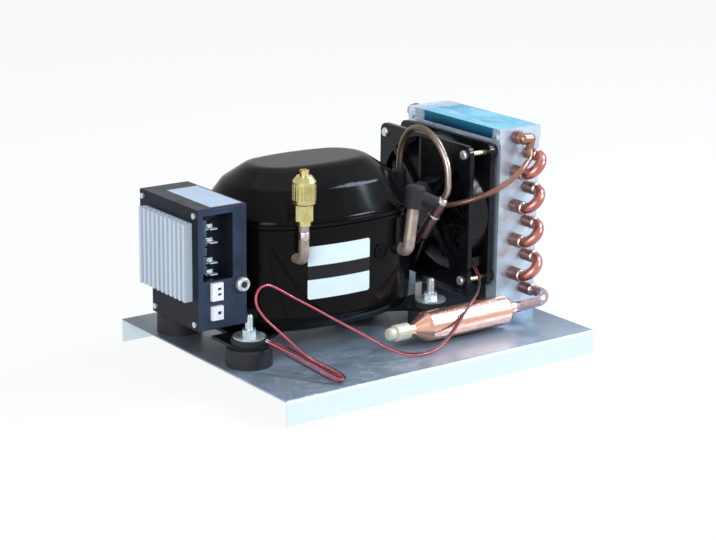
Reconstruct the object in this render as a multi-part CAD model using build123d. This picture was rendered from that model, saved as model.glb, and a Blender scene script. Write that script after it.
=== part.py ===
"""Air-cooled refrigeration condensing unit on a folded sheet tray.

Frame: X runs along the tray from the controller to the condenser, Y to the back, Z up.
The origin is the centre of the tray's footprint, on the surface that it stands on.
"""

from build123d import *
import math
import os

# ---------------------------------------------------------------- driving sizes, millimetres
TRAY_LENGTH = 300.0
TRAY_WIDTH = 240.0
TRAY_HEIGHT = 20.0
TRAY_SHEET = 1.5
TRAY_BEND = 2.5

SHELL_X = -39.0
SHELL_Y = 17.0
SHELL_LENGTH = 178.0
SHELL_WIDTH = 128.0
SHELL_SIDE_RADIUS = 200.0
SHELL_WALL = 3.0
SHELL_BOTTOM_LIFT = 17.0
SHELL_BOTTOM_ROUND = 14.0
SEAM_HEIGHT = 84.0
SEAM_BEAD = 2.6
SEAM_BEAD_OUT = 1.8
LID_STEP = 1.5
LID_WALL_RISE = 5.0
SEAM_GROOVE = 1.0
SHOULDER_RISE = 21.0
SHOULDER_INSET = 15.5
CROWN_RISE = 13.5
CROWN_INSET = 20.0
SHOULDER_ROUND = 12.0
CROWN_ROUND = 16.0
BOSS_X = 28.0
BOSS_LIFT = 57.0
BOSS_RADIUS = 6.5
BOSS_PROUD = 1.6

FOOT_SPACING_X = 175.0
FOOT_SPACING_Y = 102.0
FOOT_BOLT = 6.0
FOOT_BOLT_PROUD = 16.0
FOOT_PLATE = 2.5
FOOT_EAR = 15.0
BRACKET_WIDTH = 44.0
GROMMET_RADIUS = 18.0
GROMMET_CAP_RADIUS = 14.0
GROMMET_CAP_HEIGHT = 4.2
GROMMET_NECK_RADIUS = 8.0
SLEEVE_WALL = 1.2
WASHER_RADIUS = 12.5
WASHER_THICKNESS = 1.5
NUT_ACROSS_FLATS = 10.0
NUT_HEIGHT = 5.0
BOLT_HEAD_HEIGHT = 4.0
EARTH_TAB_WIDTH = 6.3
EARTH_TAB_HEIGHT = 13.0

LABEL_WIDTH = 56.0
LABEL_HEIGHT = 42.0
LABEL_X = -12.0
LABEL_LIFT = 49.0
LABEL_THICKNESS = 0.25

TERMINAL_RADIUS = 13.0
TERMINAL_LIFT = 58.0
TERMINAL_PIN = 1.2
TERMINAL_PIN_RING = 6.0
TERMINAL_PIN_LENGTH = 26.0

CONTROLLER_LENGTH = 84.5
CONTROLLER_FOOT_LENGTH = 67.5
CONTROLLER_DEPTH = 42.0
CONTROLLER_HEIGHT = 93.5
CONTROLLER_LIFT = 33.5
CONTROLLER_FRONT = -53.0
CONTROLLER_WALL = 2.5
CONTROLLER_STEP_HEIGHT = 32.0
CONTROLLER_COVER = 3.0
RECESS_DEPTH = 11.0
RECESS_WIDTH = 26.0
RECESS_LOW = 38.0
RECESS_TOP_WALL = 5.0
RECESS_SIDE_WALL = 4.0
SINK_HEIGHT = 60.0
SINK_LENGTH = 66.0
SINK_BASE = 2.3
SINK_FIN = 3.0
SINK_FIN_REACH = 4.5
SINK_FINS = 11
SINK_NEAR = 9.0
SINK_DROP = 11.5
CASE_SCREW_RADIUS = 2.2
CASE_SCREW_INSET = 5.0
FIXING_SCREW_RADIUS = 5.6
SPADE_WIDTH = 6.3
SPADE_THICKNESS = 0.8

CONDENSER_DEPTH = 42.0
CONDENSER_WIDTH = 121.0
CONDENSER_FRONT = -46.0
CONDENSER_HEIGHT = 156.5
PLATE_SHEET = 1.0
PLATE_FLANGE = 13.0
COVER_SHEET = 1.0
COVER_LIP = 12.0
FILM_THICKNESS = 0.2
FILM_END = 9.0
FILM_LIP = 8.5
TUBE_RADIUS = 4.75
TUBE_WALL = 0.6
TUBE_PITCH = 28.6
TUBE_ROWS = 5
COLUMN_PITCH = 13.5
TOP_TUBE_LIFT = 149.5
LEFT_COLUMN_INSET = 15.5
STUB_LENGTH = 12.0
STUB_BELL_RADIUS = 5.4
BELL_DEPTH = 6.0
BEND_TUBE_RADIUS = 4.4
FIN_THICKNESS = 0.35
FIN_PITCH = 2.9
FIN_MARGIN = 1.2
FIN_INSET = 4.0
FIN_FOOT_GAP = 3.0
FIN_TOP_GAP = 0.4

FAN_SIZE = 120.0
FAN_DEPTH = 25.0
FAN_FLANGE = 4.0
FAN_CORNER = 7.0
FAN_HOLE_PITCH = 105.0
FAN_HOLE_RADIUS = 2.2
FAN_BORE_RADIUS = 57.5
FAN_RING_WALL = 2.0
FAN_LIFT = 26.0
FAN_GAP = 6.0
FAN_TIP_GAP = 1.5
HUB_RADIUS = 20.0
HUB_DEPTH = 17.0
HUB_WALL = 2.0
BLADE_COUNT = 7
BLADE_THICKNESS = 1.8
BLADE_CHORD = 24.0
BLADE_PITCH = 38.0
CUP_DEPTH = 3.0
STRUT_COUNT = 4
STRUT_WIDTH = 5.0
SHAFT_RADIUS = 1.6
BEARING_RADIUS = 4.0
BEARING_TUBE_WALL = 1.5
BEARING_LENGTH = 16.0
COIL_RADIUS = 14.0
HUB_GAP = 1.0
FAN_BOLT_RADIUS = 2.0
FAN_BOLT_HEAD = 3.9
SPACER_RADIUS = 5.0

DRIER_RADIUS = 12.0
DRIER_WALL = 1.0
DRIER_LENGTH = 86.0
DRIER_LEFT = 15.0
DRIER_Y = -71.0
DRIER_LIFT = 14.0
DRIER_NECK_LENGTH = 13.0
DRIER_NECK_RADIUS = 4.9
DRIER_BORE_RADIUS = 3.9
DRIER_SPOUT = 17.0
PLUG_RADIUS = 6.6
PLUG_TIP_RADIUS = 5.0
PLUG_TIP_LENGTH = 7.0

SUCTION_RADIUS = 4.75
SUCTION_WALL = 0.9
SUCTION_LEAN = 8.0
SUCTION_RISE = 47.0
SUCTION_X = 51.5
SUCTION_LIFT = 69.0
SUCTION_REACH = 9.0
CAP_WALL = 2.8
CAP_COVER = 12.0
CAP_TOP = 6.0
PROCESS_RADIUS = 4.0
PROCESS_WALL = 0.8
PROCESS_X = -48.5
PROCESS_LIFT = 80.0
PROCESS_REACH = 9.0
PROCESS_RISE = 38.0
VALVE_HEX = 13.0
VALVE_BODY_HEIGHT = 12.0
VALVE_NOSE_RADIUS = 4.6
VALVE_NOSE_HEIGHT = 11.0
VALVE_CAP_RADIUS = 9.0
VALVE_CAP_HEIGHT = 22.0
VALVE_PRONG_HEIGHT = 4.5
CORE_PIN_RADIUS = 0.8
DISCHARGE_RADIUS = 2.6
INLET_RADIUS = 2.3
THIN_WALL = 0.7
HIGH_SIDE_RADIUS = 4.75
SLEEVE_RADIUS = 6.0
SLEEVE_LENGTH = 33.0
ELBOW_RADIUS = 4.75
ELBOW_STUB = 5.0
ELBOW_REACH = 6.5
ELBOW_DROP = 7.5
LIQUID_RADIUS = 4.4
LIQUID_WALL = 0.8

SPRING_STUD = 3.6
SPRING_RADIUS = 5.0
SPRING_WIRE = 0.9
SPRING_TURNS = 5
SPRING_HEIGHT = 19.0
SPRING_OFFSET = 34.0
STATOR_SIZE = 88.0
STATOR_HEIGHT = 30.0
STATOR_BORE = 23.0
SLOT_RADIUS = 6.0
SLOT_RING = 32.0
SLOTS = 6
WINDING_HEIGHT = 7.0
ROTOR_RADIUS = 22.4
CRANK_RADIUS = 8.0
CRANK_THROW = 7.0
CRANK_PIN_RADIUS = 5.5
CRANK_WEB_RADIUS = 14.0
CRANK_WEB = 5.0
BEARING_WALL = 6.0
BLOCK_PLATE = 9.0
CYLINDER_BORE = 11.0
CYLINDER_WALL = 7.0
CYLINDER_NEAR = 20.0
CYLINDER_FAR = 46.0
PISTON_LENGTH = 18.0
WRIST_PIN_RADIUS = 3.0
VALVE_PLATE = 3.0
HEAD_DEPTH = 14.0

CORD_RADIUS = 1.6
HANK_WIDTH = 12.0
HANK_THICKNESS = 7.0

# the fan's lead: down past the drier, along the tray, up in an arch and down into its hank
CORD_POINTS = [
    (86, -40, 68),
    (85, -49, 63),
    (79, -60, 56.5),
    (68, -70, 52.5),
    (54, -79, 49),
    (40, -84.5, 40),
    (26, -88, 29),
    (11, -92, 22.6),
    (-5, -95, 22.2),
    (-20, -92, 23),
    (-34, -84.5, 30),
    (-48, -79.5, 39.5),
    (-63, -77, 49),
    (-79, -75.5, 59),
    (-95, -74.5, 69.5),
    (-111, -72, 79),
    (-123.5, -69.5, 87.5),
    (-133.5, -68.5, 93),
    (-142.5, -69.5, 90.5),
    (-146, -71.5, 81),
    (-140.5, -75, 70),
    (-130, -79, 59),
    (-118, -82.5, 46.5),
    (-106, -84, 35),
]
HANK_LOW = (-95.0, -104.0, 23.5)
HANK_HIGH = (-118.0, -48.5, 40.9)

SEAT = 0.05          # clearance between neighbours that are held on each other
RUNNING = 0.05       # radial running clearance of shafts and the crank
SLIDE_FIT = 0.05     # radial clearance of caps and plugs on their tubes

# ---------------------------------------------------------------- places that follow from the sizes
TRAY_TOP = TRAY_HEIGHT
SHELL_BASE = TRAY_TOP + SHELL_BOTTOM_LIFT
SEAM_Z = SHELL_BASE + SEAM_HEIGHT
SHELL_FRONT = SHELL_Y - SHELL_WIDTH / 2
SHELL_RIGHT = SHELL_X + SHELL_LENGTH / 2
SHELL_LEFT = SHELL_X - SHELL_LENGTH / 2
BRACKET_TOP = SHELL_BASE
BRACKET_BASE = BRACKET_TOP - FOOT_PLATE
FOOT_STACK_TOP = BRACKET_TOP + GROMMET_CAP_HEIGHT
FEET = [
    (SHELL_X + sx * FOOT_SPACING_X / 2, SHELL_Y + sy * FOOT_SPACING_Y / 2)
    for sx in (-1, 1)
    for sy in (-1, 1)
]

CONDENSER_RIGHT = TRAY_LENGTH / 2
CONDENSER_LEFT = CONDENSER_RIGHT - CONDENSER_DEPTH
CONDENSER_BACK = CONDENSER_FRONT + CONDENSER_WIDTH
CONDENSER_Y = (CONDENSER_FRONT + CONDENSER_BACK) / 2
CONDENSER_TOP = TRAY_TOP + CONDENSER_HEIGHT
LEFT_COLUMN = CONDENSER_LEFT + LEFT_COLUMN_INSET
RIGHT_COLUMN = LEFT_COLUMN + COLUMN_PITCH
LEFT_TUBES = [
    (LEFT_COLUMN, TRAY_TOP + TOP_TUBE_LIFT - row * TUBE_PITCH) for row in range(TUBE_ROWS)
]
RIGHT_TUBES = [
    (RIGHT_COLUMN, TRAY_TOP + TOP_TUBE_LIFT - (row + 0.5) * TUBE_PITCH) for row in range(TUBE_ROWS)
]
STUB_FRONT = CONDENSER_FRONT - STUB_LENGTH
STUB_BACK = CONDENSER_BACK + STUB_LENGTH

FAN_BACK = CONDENSER_LEFT - FAN_GAP
FAN_FRONT = FAN_BACK - FAN_DEPTH
FAN_Y = CONDENSER_Y
FAN_Z = TRAY_TOP + FAN_LIFT + FAN_SIZE / 2
FAN_HOLES = [
    (FAN_Y + sy * FAN_HOLE_PITCH / 2, FAN_Z + sz * FAN_HOLE_PITCH / 2)
    for sy in (-1, 1)
    for sz in (-1, 1)
]

BEARING_START = FAN_FRONT + 1.0 + SEAT
BEARING_END = FAN_FRONT + 1.0 + BEARING_LENGTH
HUB_START = FAN_FRONT + CUP_DEPTH + HUB_GAP
HUB_END = HUB_START + HUB_DEPTH
LEAD_BLOCK_Y = FAN_Y - FAN_SIZE / 2 + 5.5
LEAD_BLOCK_Z = FAN_Z - 38.0

DRIER_Z = TRAY_TOP + DRIER_LIFT
DRIER_RIGHT = DRIER_LEFT + DRIER_LENGTH
CONTROLLER_RIGHT = SHELL_LEFT - 2.0
CONTROLLER_LEFT = CONTROLLER_RIGHT - CONTROLLER_DEPTH
CONTROLLER_Y = SHELL_Y + CONTROLLER_FRONT
CONTROLLER_Z = TRAY_TOP + CONTROLLER_LIFT
CONTROLLER_TOP = CONTROLLER_Z + CONTROLLER_HEIGHT
TERMINAL_Z = SHELL_BASE + TERMINAL_LIFT

STATOR_BASE = SHELL_BASE + SHELL_WALL + SPRING_HEIGHT + 2 * SPRING_WIRE + 2 * SEAT
STATOR_TOP = STATOR_BASE + STATOR_HEIGHT
BLOCK_BASE = STATOR_TOP + 8.0
BLOCK_TOP = BLOCK_BASE + BLOCK_PLATE
CRANK_WEB_BASE = BLOCK_TOP + SEAT
CYLINDER_Z = CRANK_WEB_BASE + CRANK_WEB + 9.0


# ---------------------------------------------------------------- helpers
def box(x0, x1, y0, y1, z0, z1):
    """Block between two corners."""
    return Pos((x0 + x1) / 2, (y0 + y1) / 2, (z0 + z1) / 2) * Box(x1 - x0, y1 - y0, z1 - z0)


def rod_z(x, y, z0, z1, radius):
    """Upright cylinder."""
    return Pos(x, y, (z0 + z1) / 2) * Cylinder(radius, z1 - z0)


def rod_x(x0, x1, y, z, radius):
    """Cylinder along X."""
    return Pos((x0 + x1) / 2, y, z) * Rot(0, 90, 0) * Cylinder(radius, x1 - x0)


def rod_y(x, y0, y1, z, radius):
    """Cylinder along Y."""
    return Pos(x, (y0 + y1) / 2, z) * Rot(90, 0, 0) * Cylinder(radius, y1 - y0)


def hexagon_z(x, y, z0, z1, across_flats):
    """Upright hexagonal prism."""
    face = Pos(x, y, z0) * RegularPolygon(across_flats / 2, 6, major_radius=False)
    return extrude(face, z1 - z0, dir=(0, 0, 1))


def arc_radii(points, share=0.45):
    """Radius of each bend of a route: a share of the shorter run over the tangent of half the turn."""
    radii = []
    for before, corner, after in zip(points, points[1:], points[2:]):
        run_in = Vector(*corner) - Vector(*before)
        run_out = Vector(*after) - Vector(*corner)
        half_turn = math.radians(run_in.get_angle(run_out)) / 2
        radii.append(share * min(run_in.length, run_out.length) / math.tan(half_turn))
    return radii


def route(points):
    """Straight runs joined by tangent arcs."""
    return FilletPolyline(*points, radius=arc_radii(points))


def tube(points, radius, wall=0.0):
    """Tube, or a solid rod when wall is zero, along a route."""
    path = route(points) if len(points) > 2 else Line(*points)
    start = Plane(origin=path @ 0, z_dir=path % 0)
    solid = sweep(start * Circle(radius), path=path)
    if wall:
        solid -= sweep(start * Circle(radius - wall), path=path)
    return solid


def group(solids):
    """Separate solids kept side by side in one node."""
    return Compound(children=[part for solid in solids for part in solid.solids()])


def oval(length, width, side_radius):
    """Closed outline of two gently curved sides and two tangent round ends."""
    half_length = length / 2
    half_width = width / 2
    reach = 2 * (side_radius - half_length)
    end_radius = (2 * side_radius * half_width - half_length**2 - half_width**2) / reach
    end_centre = half_length - end_radius
    side_centre = side_radius - half_width
    ratio = side_radius / (side_radius - end_radius)
    touch_x = end_centre * ratio
    touch_y = side_centre * ratio - side_centre
    outline = Wire([
        ThreePointArc((-touch_x, -touch_y), (0, -half_width), (touch_x, -touch_y)),
        ThreePointArc((touch_x, -touch_y), (half_length, 0), (touch_x, touch_y)),
        ThreePointArc((touch_x, touch_y), (0, half_width), (-touch_x, touch_y)),
        ThreePointArc((-touch_x, touch_y), (-half_length, 0), (-touch_x, -touch_y)),
    ])
    return Face(outline)


def shell_oval(inset, z):
    """The compressor's outline moved inwards by inset, at height z."""
    face = oval(SHELL_LENGTH - 2 * inset, SHELL_WIDTH - 2 * inset, SHELL_SIDE_RADIUS - inset)
    return Pos(SHELL_X, SHELL_Y, z) * face


def shell_side(x):
    """Depth of the compressor's front side at x."""
    reach = math.sqrt(SHELL_SIDE_RADIUS**2 - (x - SHELL_X) ** 2)
    return SHELL_Y + (SHELL_SIDE_RADIUS - SHELL_WIDTH / 2) - reach


# ---------------------------------------------------------------- tray and feet
def make_tray():
    """Folded tray: a flat top with a flange down along the front and the back."""
    half = TRAY_WIDTH / 2
    tray = box(-TRAY_LENGTH / 2, TRAY_LENGTH / 2, -half, half, 0, TRAY_HEIGHT)
    tray = fillet(tray.edges().filter_by(Axis.X).group_by(Axis.Z)[-1], TRAY_BEND)
    hollow = box(
        -TRAY_LENGTH, TRAY_LENGTH,
        -half + TRAY_SHEET, half - TRAY_SHEET,
        -TRAY_SHEET, TRAY_HEIGHT - TRAY_SHEET,
    )
    hollow = fillet(hollow.edges().filter_by(Axis.X).group_by(Axis.Z)[-1], TRAY_BEND - TRAY_SHEET)
    tray -= hollow
    for x, y in FEET:
        tray -= rod_z(x, y, 0, TRAY_HEIGHT + 1, FOOT_BOLT / 2 + 0.2)
    for x, y in plate_screw_places():
        tray -= rod_z(x, y, 0, TRAY_HEIGHT + 1, CASE_SCREW_RADIUS + 0.1)
    return tray


def make_brackets():
    """Two plates under the compressor's ends, with an ear at each foot and an earth tab."""
    plates = []
    for side in (-1, 1):
        x_foot = SHELL_X + side * FOOT_SPACING_X / 2
        x_in = x_foot - side * BRACKET_WIDTH
        y0 = SHELL_Y - FOOT_SPACING_Y / 2
        y1 = SHELL_Y + FOOT_SPACING_Y / 2
        plate = box(
            min(x_in, x_foot), max(x_in, x_foot),
            y0 + FOOT_EAR, y1 - FOOT_EAR,
            BRACKET_BASE, BRACKET_TOP,
        )
        for y, toward in ((y0, 1), (y1, -1)):
            ear = rod_z(x_foot, y, BRACKET_BASE, BRACKET_TOP, FOOT_EAR)
            strap = Polygon(
                (x_foot + side * FOOT_EAR, y),
                (x_foot + side * FOOT_EAR, y + toward * 2 * FOOT_EAR),
                (x_in, y + toward * 2 * FOOT_EAR),
                (x_in, y + toward * FOOT_EAR),
                (x_foot - side * FOOT_EAR, y),
                align=None,
            )
            plate += ear
            plate += extrude(Pos(0, 0, BRACKET_BASE) * strap, FOOT_PLATE, dir=(0, 0, 1))
            plate -= rod_z(x_foot, y, BRACKET_BASE - 1, BRACKET_TOP + 1, GROMMET_NECK_RADIUS + SEAT)
        plates.append(plate)
    tab_x = SHELL_X + FOOT_SPACING_X / 2 + 1.0
    tab_y = SHELL_Y - FOOT_SPACING_Y / 2 + 1.4 * FOOT_EAR
    plates[1] += box(
        tab_x, tab_x + EARTH_TAB_WIDTH,
        tab_y, tab_y + SPADE_THICKNESS,
        BRACKET_TOP, BRACKET_TOP + EARTH_TAB_HEIGHT,
    )
    return group(plates)


def make_grommet(x, y):
    """Rubber mount: wide base, neck through the bracket, smaller cap above it."""
    grommet = rod_z(x, y, TRAY_TOP, BRACKET_BASE, GROMMET_RADIUS)
    grommet = fillet(grommet.edges().group_by(Axis.Z)[-1], 1.5)
    grommet += rod_z(x, y, BRACKET_BASE - 1, BRACKET_TOP + 1, GROMMET_NECK_RADIUS)
    grommet += rod_z(x, y, BRACKET_TOP, FOOT_STACK_TOP, GROMMET_CAP_RADIUS)
    grommet -= rod_z(x, y, TRAY_TOP - 1, FOOT_STACK_TOP + 1, FOOT_BOLT / 2 + SEAT + SLEEVE_WALL + SEAT)
    return grommet


def make_foot_sleeve(x, y):
    """Steel sleeve that limits how far the rubber is squeezed."""
    sleeve = rod_z(x, y, TRAY_TOP, FOOT_STACK_TOP, FOOT_BOLT / 2 + SEAT + SLEEVE_WALL)
    return sleeve - rod_z(x, y, TRAY_TOP - 1, FOOT_STACK_TOP + 1, FOOT_BOLT / 2 + SEAT)


def make_foot_bolt(x, y):
    """Bolt with its head under the tray."""
    top = FOOT_STACK_TOP + WASHER_THICKNESS + FOOT_BOLT_PROUD
    shank = rod_z(x, y, TRAY_TOP - TRAY_SHEET - 1, top, FOOT_BOLT / 2)
    shank = chamfer(shank.edges().group_by(Axis.Z)[-1], 0.7)
    head_top = TRAY_TOP - TRAY_SHEET
    return shank + hexagon_z(x, y, head_top - BOLT_HEAD_HEIGHT, head_top, NUT_ACROSS_FLATS)


def make_foot_washer(x, y):
    """Plain washer on the grommet."""
    z0 = FOOT_STACK_TOP
    washer = rod_z(x, y, z0, z0 + WASHER_THICKNESS, WASHER_RADIUS)
    return washer - rod_z(x, y, z0 - 1, z0 + WASHER_THICKNESS + 1, FOOT_BOLT / 2 + SEAT)


def make_foot_nut(x, y):
    """Hexagon nut on the washer."""
    z0 = FOOT_STACK_TOP + WASHER_THICKNESS
    nut = hexagon_z(x, y, z0, z0 + NUT_HEIGHT, NUT_ACROSS_FLATS)
    return nut - rod_z(x, y, z0 - 1, z0 + NUT_HEIGHT + 1, FOOT_BOLT / 2 + SEAT)


# ---------------------------------------------------------------- compressor shell
def make_shell_lower():
    """Deep lower cup with a rounded bottom, a bead at its rim and the front boss."""
    cup = extrude(shell_oval(0, SHELL_BASE), SEAM_HEIGHT, dir=(0, 0, 1))
    cup = fillet(cup.edges().group_by(Axis.Z)[0], SHELL_BOTTOM_ROUND)
    cup += extrude(shell_oval(-SEAM_BEAD_OUT, SEAM_Z - SEAM_BEAD), SEAM_BEAD, dir=(0, 0, 1))
    inner = extrude(
        shell_oval(SHELL_WALL, SHELL_BASE + SHELL_WALL), SEAM_HEIGHT, dir=(0, 0, 1)
    )
    cup -= fillet(inner.edges().group_by(Axis.Z)[0], SHELL_BOTTOM_ROUND - SHELL_WALL)
    boss_x = SHELL_X + BOSS_X
    boss_z = SHELL_BASE + BOSS_LIFT
    side = shell_side(boss_x)
    cup += rod_y(boss_x, side - BOSS_PROUD, side + SHELL_WALL / 2, boss_z, BOSS_RADIUS)
    cup -= rod_y(boss_x, side - 2 * BOSS_PROUD, side - BOSS_PROUD / 2, boss_z, BOSS_RADIUS - 1.6)
    cup += rod_y(boss_x, side - BOSS_PROUD, side + SHELL_WALL / 2, boss_z, BOSS_RADIUS / 3)
    for x, y in spring_places():
        cup += rod_z(x, y, SHELL_BASE + SHELL_WALL / 2, SHELL_BASE + SHELL_WALL + 7, SPRING_STUD)
    cup -= rod_x(
        SHELL_LEFT - 5, SHELL_LEFT + 3 * SHELL_WALL, SHELL_Y, TERMINAL_Z, TERMINAL_RADIUS + SEAT
    )
    cup -= suction_hole()
    cup -= process_hole()
    cup -= discharge_hole()
    return cup


def lid_solid(inset):
    """Lid outline as stacked tapering layers, moved inwards by inset."""
    lower = extrude(shell_oval(LID_STEP + inset, SEAM_Z), LID_WALL_RISE, dir=(0, 0, 1))
    shoulder_base = SEAM_Z + LID_WALL_RISE
    shoulder = Solid.make_loft([
        shell_oval(LID_STEP + inset, shoulder_base).outer_wire(),
        shell_oval(LID_STEP + inset + SHOULDER_INSET, shoulder_base + SHOULDER_RISE - inset / 2).outer_wire(),
    ])
    crown_base = shoulder_base + SHOULDER_RISE - inset / 2
    crown = Solid.make_loft([
        shell_oval(LID_STEP + inset + SHOULDER_INSET, crown_base).outer_wire(),
        shell_oval(
            LID_STEP + inset + SHOULDER_INSET + CROWN_INSET, crown_base + CROWN_RISE - inset / 2
        ).outer_wire(),
    ])
    return lower + shoulder + crown


def make_shell_upper():
    """Domed lid: a bead at the seam, a sloping shoulder and a raised crown."""
    lid = lid_solid(0)
    lid = fillet(lid.edges().group_by(Axis.Z)[-1], CROWN_ROUND)
    crown_z = SEAM_Z + LID_WALL_RISE + SHOULDER_RISE
    shoulder_edges = [edge for edge in lid.edges() if abs(edge.center().Z - crown_z) < 0.5]
    lid = fillet(shoulder_edges, SHOULDER_ROUND)
    wall_z = SEAM_Z + LID_WALL_RISE
    wall_edges = [edge for edge in lid.edges() if abs(edge.center().Z - wall_z) < 0.01]
    lid = fillet(wall_edges, LID_WALL_RISE)
    lid += extrude(shell_oval(-SEAM_BEAD_OUT, SEAM_Z + SEAM_GROOVE), SEAM_BEAD, dir=(0, 0, 1))
    lid -= lid_solid(SHELL_WALL)
    return lid


def make_terminal():
    """Hermetic terminal: a steel plug in the shell wall with three pins through it."""
    plug = rod_x(CONTROLLER_RIGHT, SHELL_LEFT + 6, SHELL_Y, TERMINAL_Z, TERMINAL_RADIUS)
    for turn in range(3):
        angle = math.radians(90 + 120 * turn)
        y = SHELL_Y + TERMINAL_PIN_RING * math.cos(angle)
        z = TERMINAL_Z + TERMINAL_PIN_RING * math.sin(angle)
        plug += rod_x(SHELL_LEFT - TERMINAL_PIN_LENGTH / 2 + 2, SHELL_LEFT + 12, y, z, TERMINAL_PIN)
    return plug


def make_label():
    """Blank plate bent round the front of the shell."""
    x = SHELL_X + LABEL_X
    z = SHELL_BASE + LABEL_LIFT
    shape = box(
        x - LABEL_WIDTH / 2, x + LABEL_WIDTH / 2, SHELL_FRONT - 5, SHELL_FRONT + 15,
        z - LABEL_HEIGHT / 2, z + LABEL_HEIGHT / 2,
    )
    shape = fillet(shape.edges().filter_by(Axis.Y), 2.0)
    skin = extrude(shell_oval(-LABEL_THICKNESS, SHELL_BASE), SEAM_HEIGHT, dir=(0, 0, 1))
    skin -= extrude(shell_oval(0, SHELL_BASE - 1), SEAM_HEIGHT + 2, dir=(0, 0, 1))
    return skin & shape


# ---------------------------------------------------------------- compressor works
def spring_places():
    """Corners of the stator, where the works hang on springs."""
    return [(SHELL_X + sx * SPRING_OFFSET, SHELL_Y + sy * SPRING_OFFSET) for sx in (-1, 1) for sy in (-1, 1)]


def make_spring(x, y):
    """Open coil spring round its stud."""
    z0 = SHELL_BASE + SHELL_WALL + SPRING_WIRE + SEAT
    coil = Helix(SPRING_HEIGHT / SPRING_TURNS, SPRING_HEIGHT, SPRING_RADIUS)
    start = Plane(origin=coil @ 0, z_dir=coil % 0)
    return Pos(x, y, z0) * sweep(start * Circle(SPRING_WIRE), path=coil, is_frenet=True)


def slot_places():
    """Centres of the stator's slots round the shaft."""
    places = []
    for slot in range(SLOTS):
        angle = 2 * math.pi * (slot + 0.5) / SLOTS
        places.append((SHELL_X + SLOT_RING * math.cos(angle), SHELL_Y + SLOT_RING * math.sin(angle)))
    return places


def make_stator():
    """Square stack of laminations with a bore and round slots."""
    half = STATOR_SIZE / 2
    stack = box(
        SHELL_X - half, SHELL_X + half, SHELL_Y - half, SHELL_Y + half, STATOR_BASE, STATOR_TOP
    )
    stack = chamfer(stack.edges().filter_by(Axis.Z), 6.0)
    stack -= rod_z(SHELL_X, SHELL_Y, STATOR_BASE - 1, STATOR_TOP + 1, STATOR_BORE)
    for x, y in slot_places():
        stack -= rod_z(x, y, STATOR_BASE - 1, STATOR_TOP + 1, SLOT_RADIUS)
    return stack


def make_windings():
    """Copper windings: an end ring above and below, joined through the slots."""
    outer = SLOT_RING + SLOT_RADIUS - 1
    inner = SLOT_RING - SLOT_RADIUS + 1
    coil = None
    for z0 in (STATOR_BASE - SEAT - WINDING_HEIGHT, STATOR_TOP + SEAT):
        ring = rod_z(SHELL_X, SHELL_Y, z0, z0 + WINDING_HEIGHT, outer)
        ring -= rod_z(SHELL_X, SHELL_Y, z0 - 1, z0 + WINDING_HEIGHT + 1, inner)
        coil = ring if coil is None else coil + ring
    for x, y in slot_places():
        coil += rod_z(x, y, STATOR_BASE - 1, STATOR_TOP + 1, SLOT_RADIUS - 1)
    return coil


def make_motor_rotor():
    """Rotor core pressed on the crankshaft."""
    rotor = rod_z(SHELL_X, SHELL_Y, STATOR_BASE, STATOR_TOP, ROTOR_RADIUS)
    return rotor - rod_z(SHELL_X, SHELL_Y, STATOR_BASE - 1, STATOR_TOP + 1, CRANK_RADIUS + SEAT / 5)


def make_crankshaft():
    """Upright shaft with a web and an eccentric pin on top."""
    shaft = rod_z(SHELL_X, SHELL_Y, STATOR_BASE - 4, CRANK_WEB_BASE + 1, CRANK_RADIUS)
    web = rod_z(SHELL_X, SHELL_Y, CRANK_WEB_BASE, CRANK_WEB_BASE + CRANK_WEB, CRANK_WEB_RADIUS)
    pin_base = CRANK_WEB_BASE + CRANK_WEB - 1
    pin = rod_z(SHELL_X, SHELL_Y + CRANK_THROW, pin_base, CYLINDER_Z + 7, CRANK_PIN_RADIUS)
    return shaft + web + pin


def make_cylinder_block():
    """Cast block: main bearing, plate on four legs and the cylinder barrel."""
    half = STATOR_SIZE / 2
    plate = box(
        SHELL_X - half + 6, SHELL_X + half, SHELL_Y - half + 6, SHELL_Y + half - 6, BLOCK_BASE, BLOCK_TOP
    )
    plate = fillet(plate.edges().filter_by(Axis.Z), 8.0)
    bearing = CRANK_RADIUS + RUNNING + BEARING_WALL
    plate += rod_z(SHELL_X, SHELL_Y, STATOR_TOP + 1, BLOCK_TOP, bearing)
    for sx in (-1, 1):
        for sy in (-1, 1):
            x = SHELL_X + sx * (half - 9)
            y = SHELL_Y + sy * (half - 9)
            plate += rod_z(x, y, STATOR_TOP, BLOCK_BASE + 1, 3.0)
    x0 = SHELL_X + CYLINDER_NEAR
    x1 = SHELL_X + CYLINDER_FAR
    barrel = CYLINDER_BORE + CYLINDER_WALL
    plate += rod_x(x0, x1, SHELL_Y, CYLINDER_Z, barrel)
    plate += box(x0, SHELL_X + half, SHELL_Y - barrel, SHELL_Y + barrel, BLOCK_TOP - 1, CYLINDER_Z)
    plate -= rod_x(x0 - 1, x1 + 1, SHELL_Y, CYLINDER_Z, CYLINDER_BORE)
    plate -= rod_z(SHELL_X, SHELL_Y, STATOR_TOP - 1, BLOCK_TOP + 1, CRANK_RADIUS + RUNNING)
    return plate


def piston_place():
    """Near face of the piston at half stroke."""
    return SHELL_X + CYLINDER_FAR - CRANK_THROW - 1.0 - PISTON_LENGTH


def wrist_x():
    """Place of the wrist pin along the cylinder."""
    return piston_place() + 8.0


def make_piston():
    """Piston, hollow from below, bored for its pin."""
    x0 = piston_place()
    x1 = x0 + PISTON_LENGTH
    piston = rod_x(x0, x1, SHELL_Y, CYLINDER_Z, CYLINDER_BORE - RUNNING)
    piston -= rod_x(x0 - 1, x1 - 4, SHELL_Y, CYLINDER_Z, CYLINDER_BORE - 3)
    hole = WRIST_PIN_RADIUS + SEAT
    return piston - rod_y(wrist_x(), SHELL_Y - 20, SHELL_Y + 20, CYLINDER_Z, hole)


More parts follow.
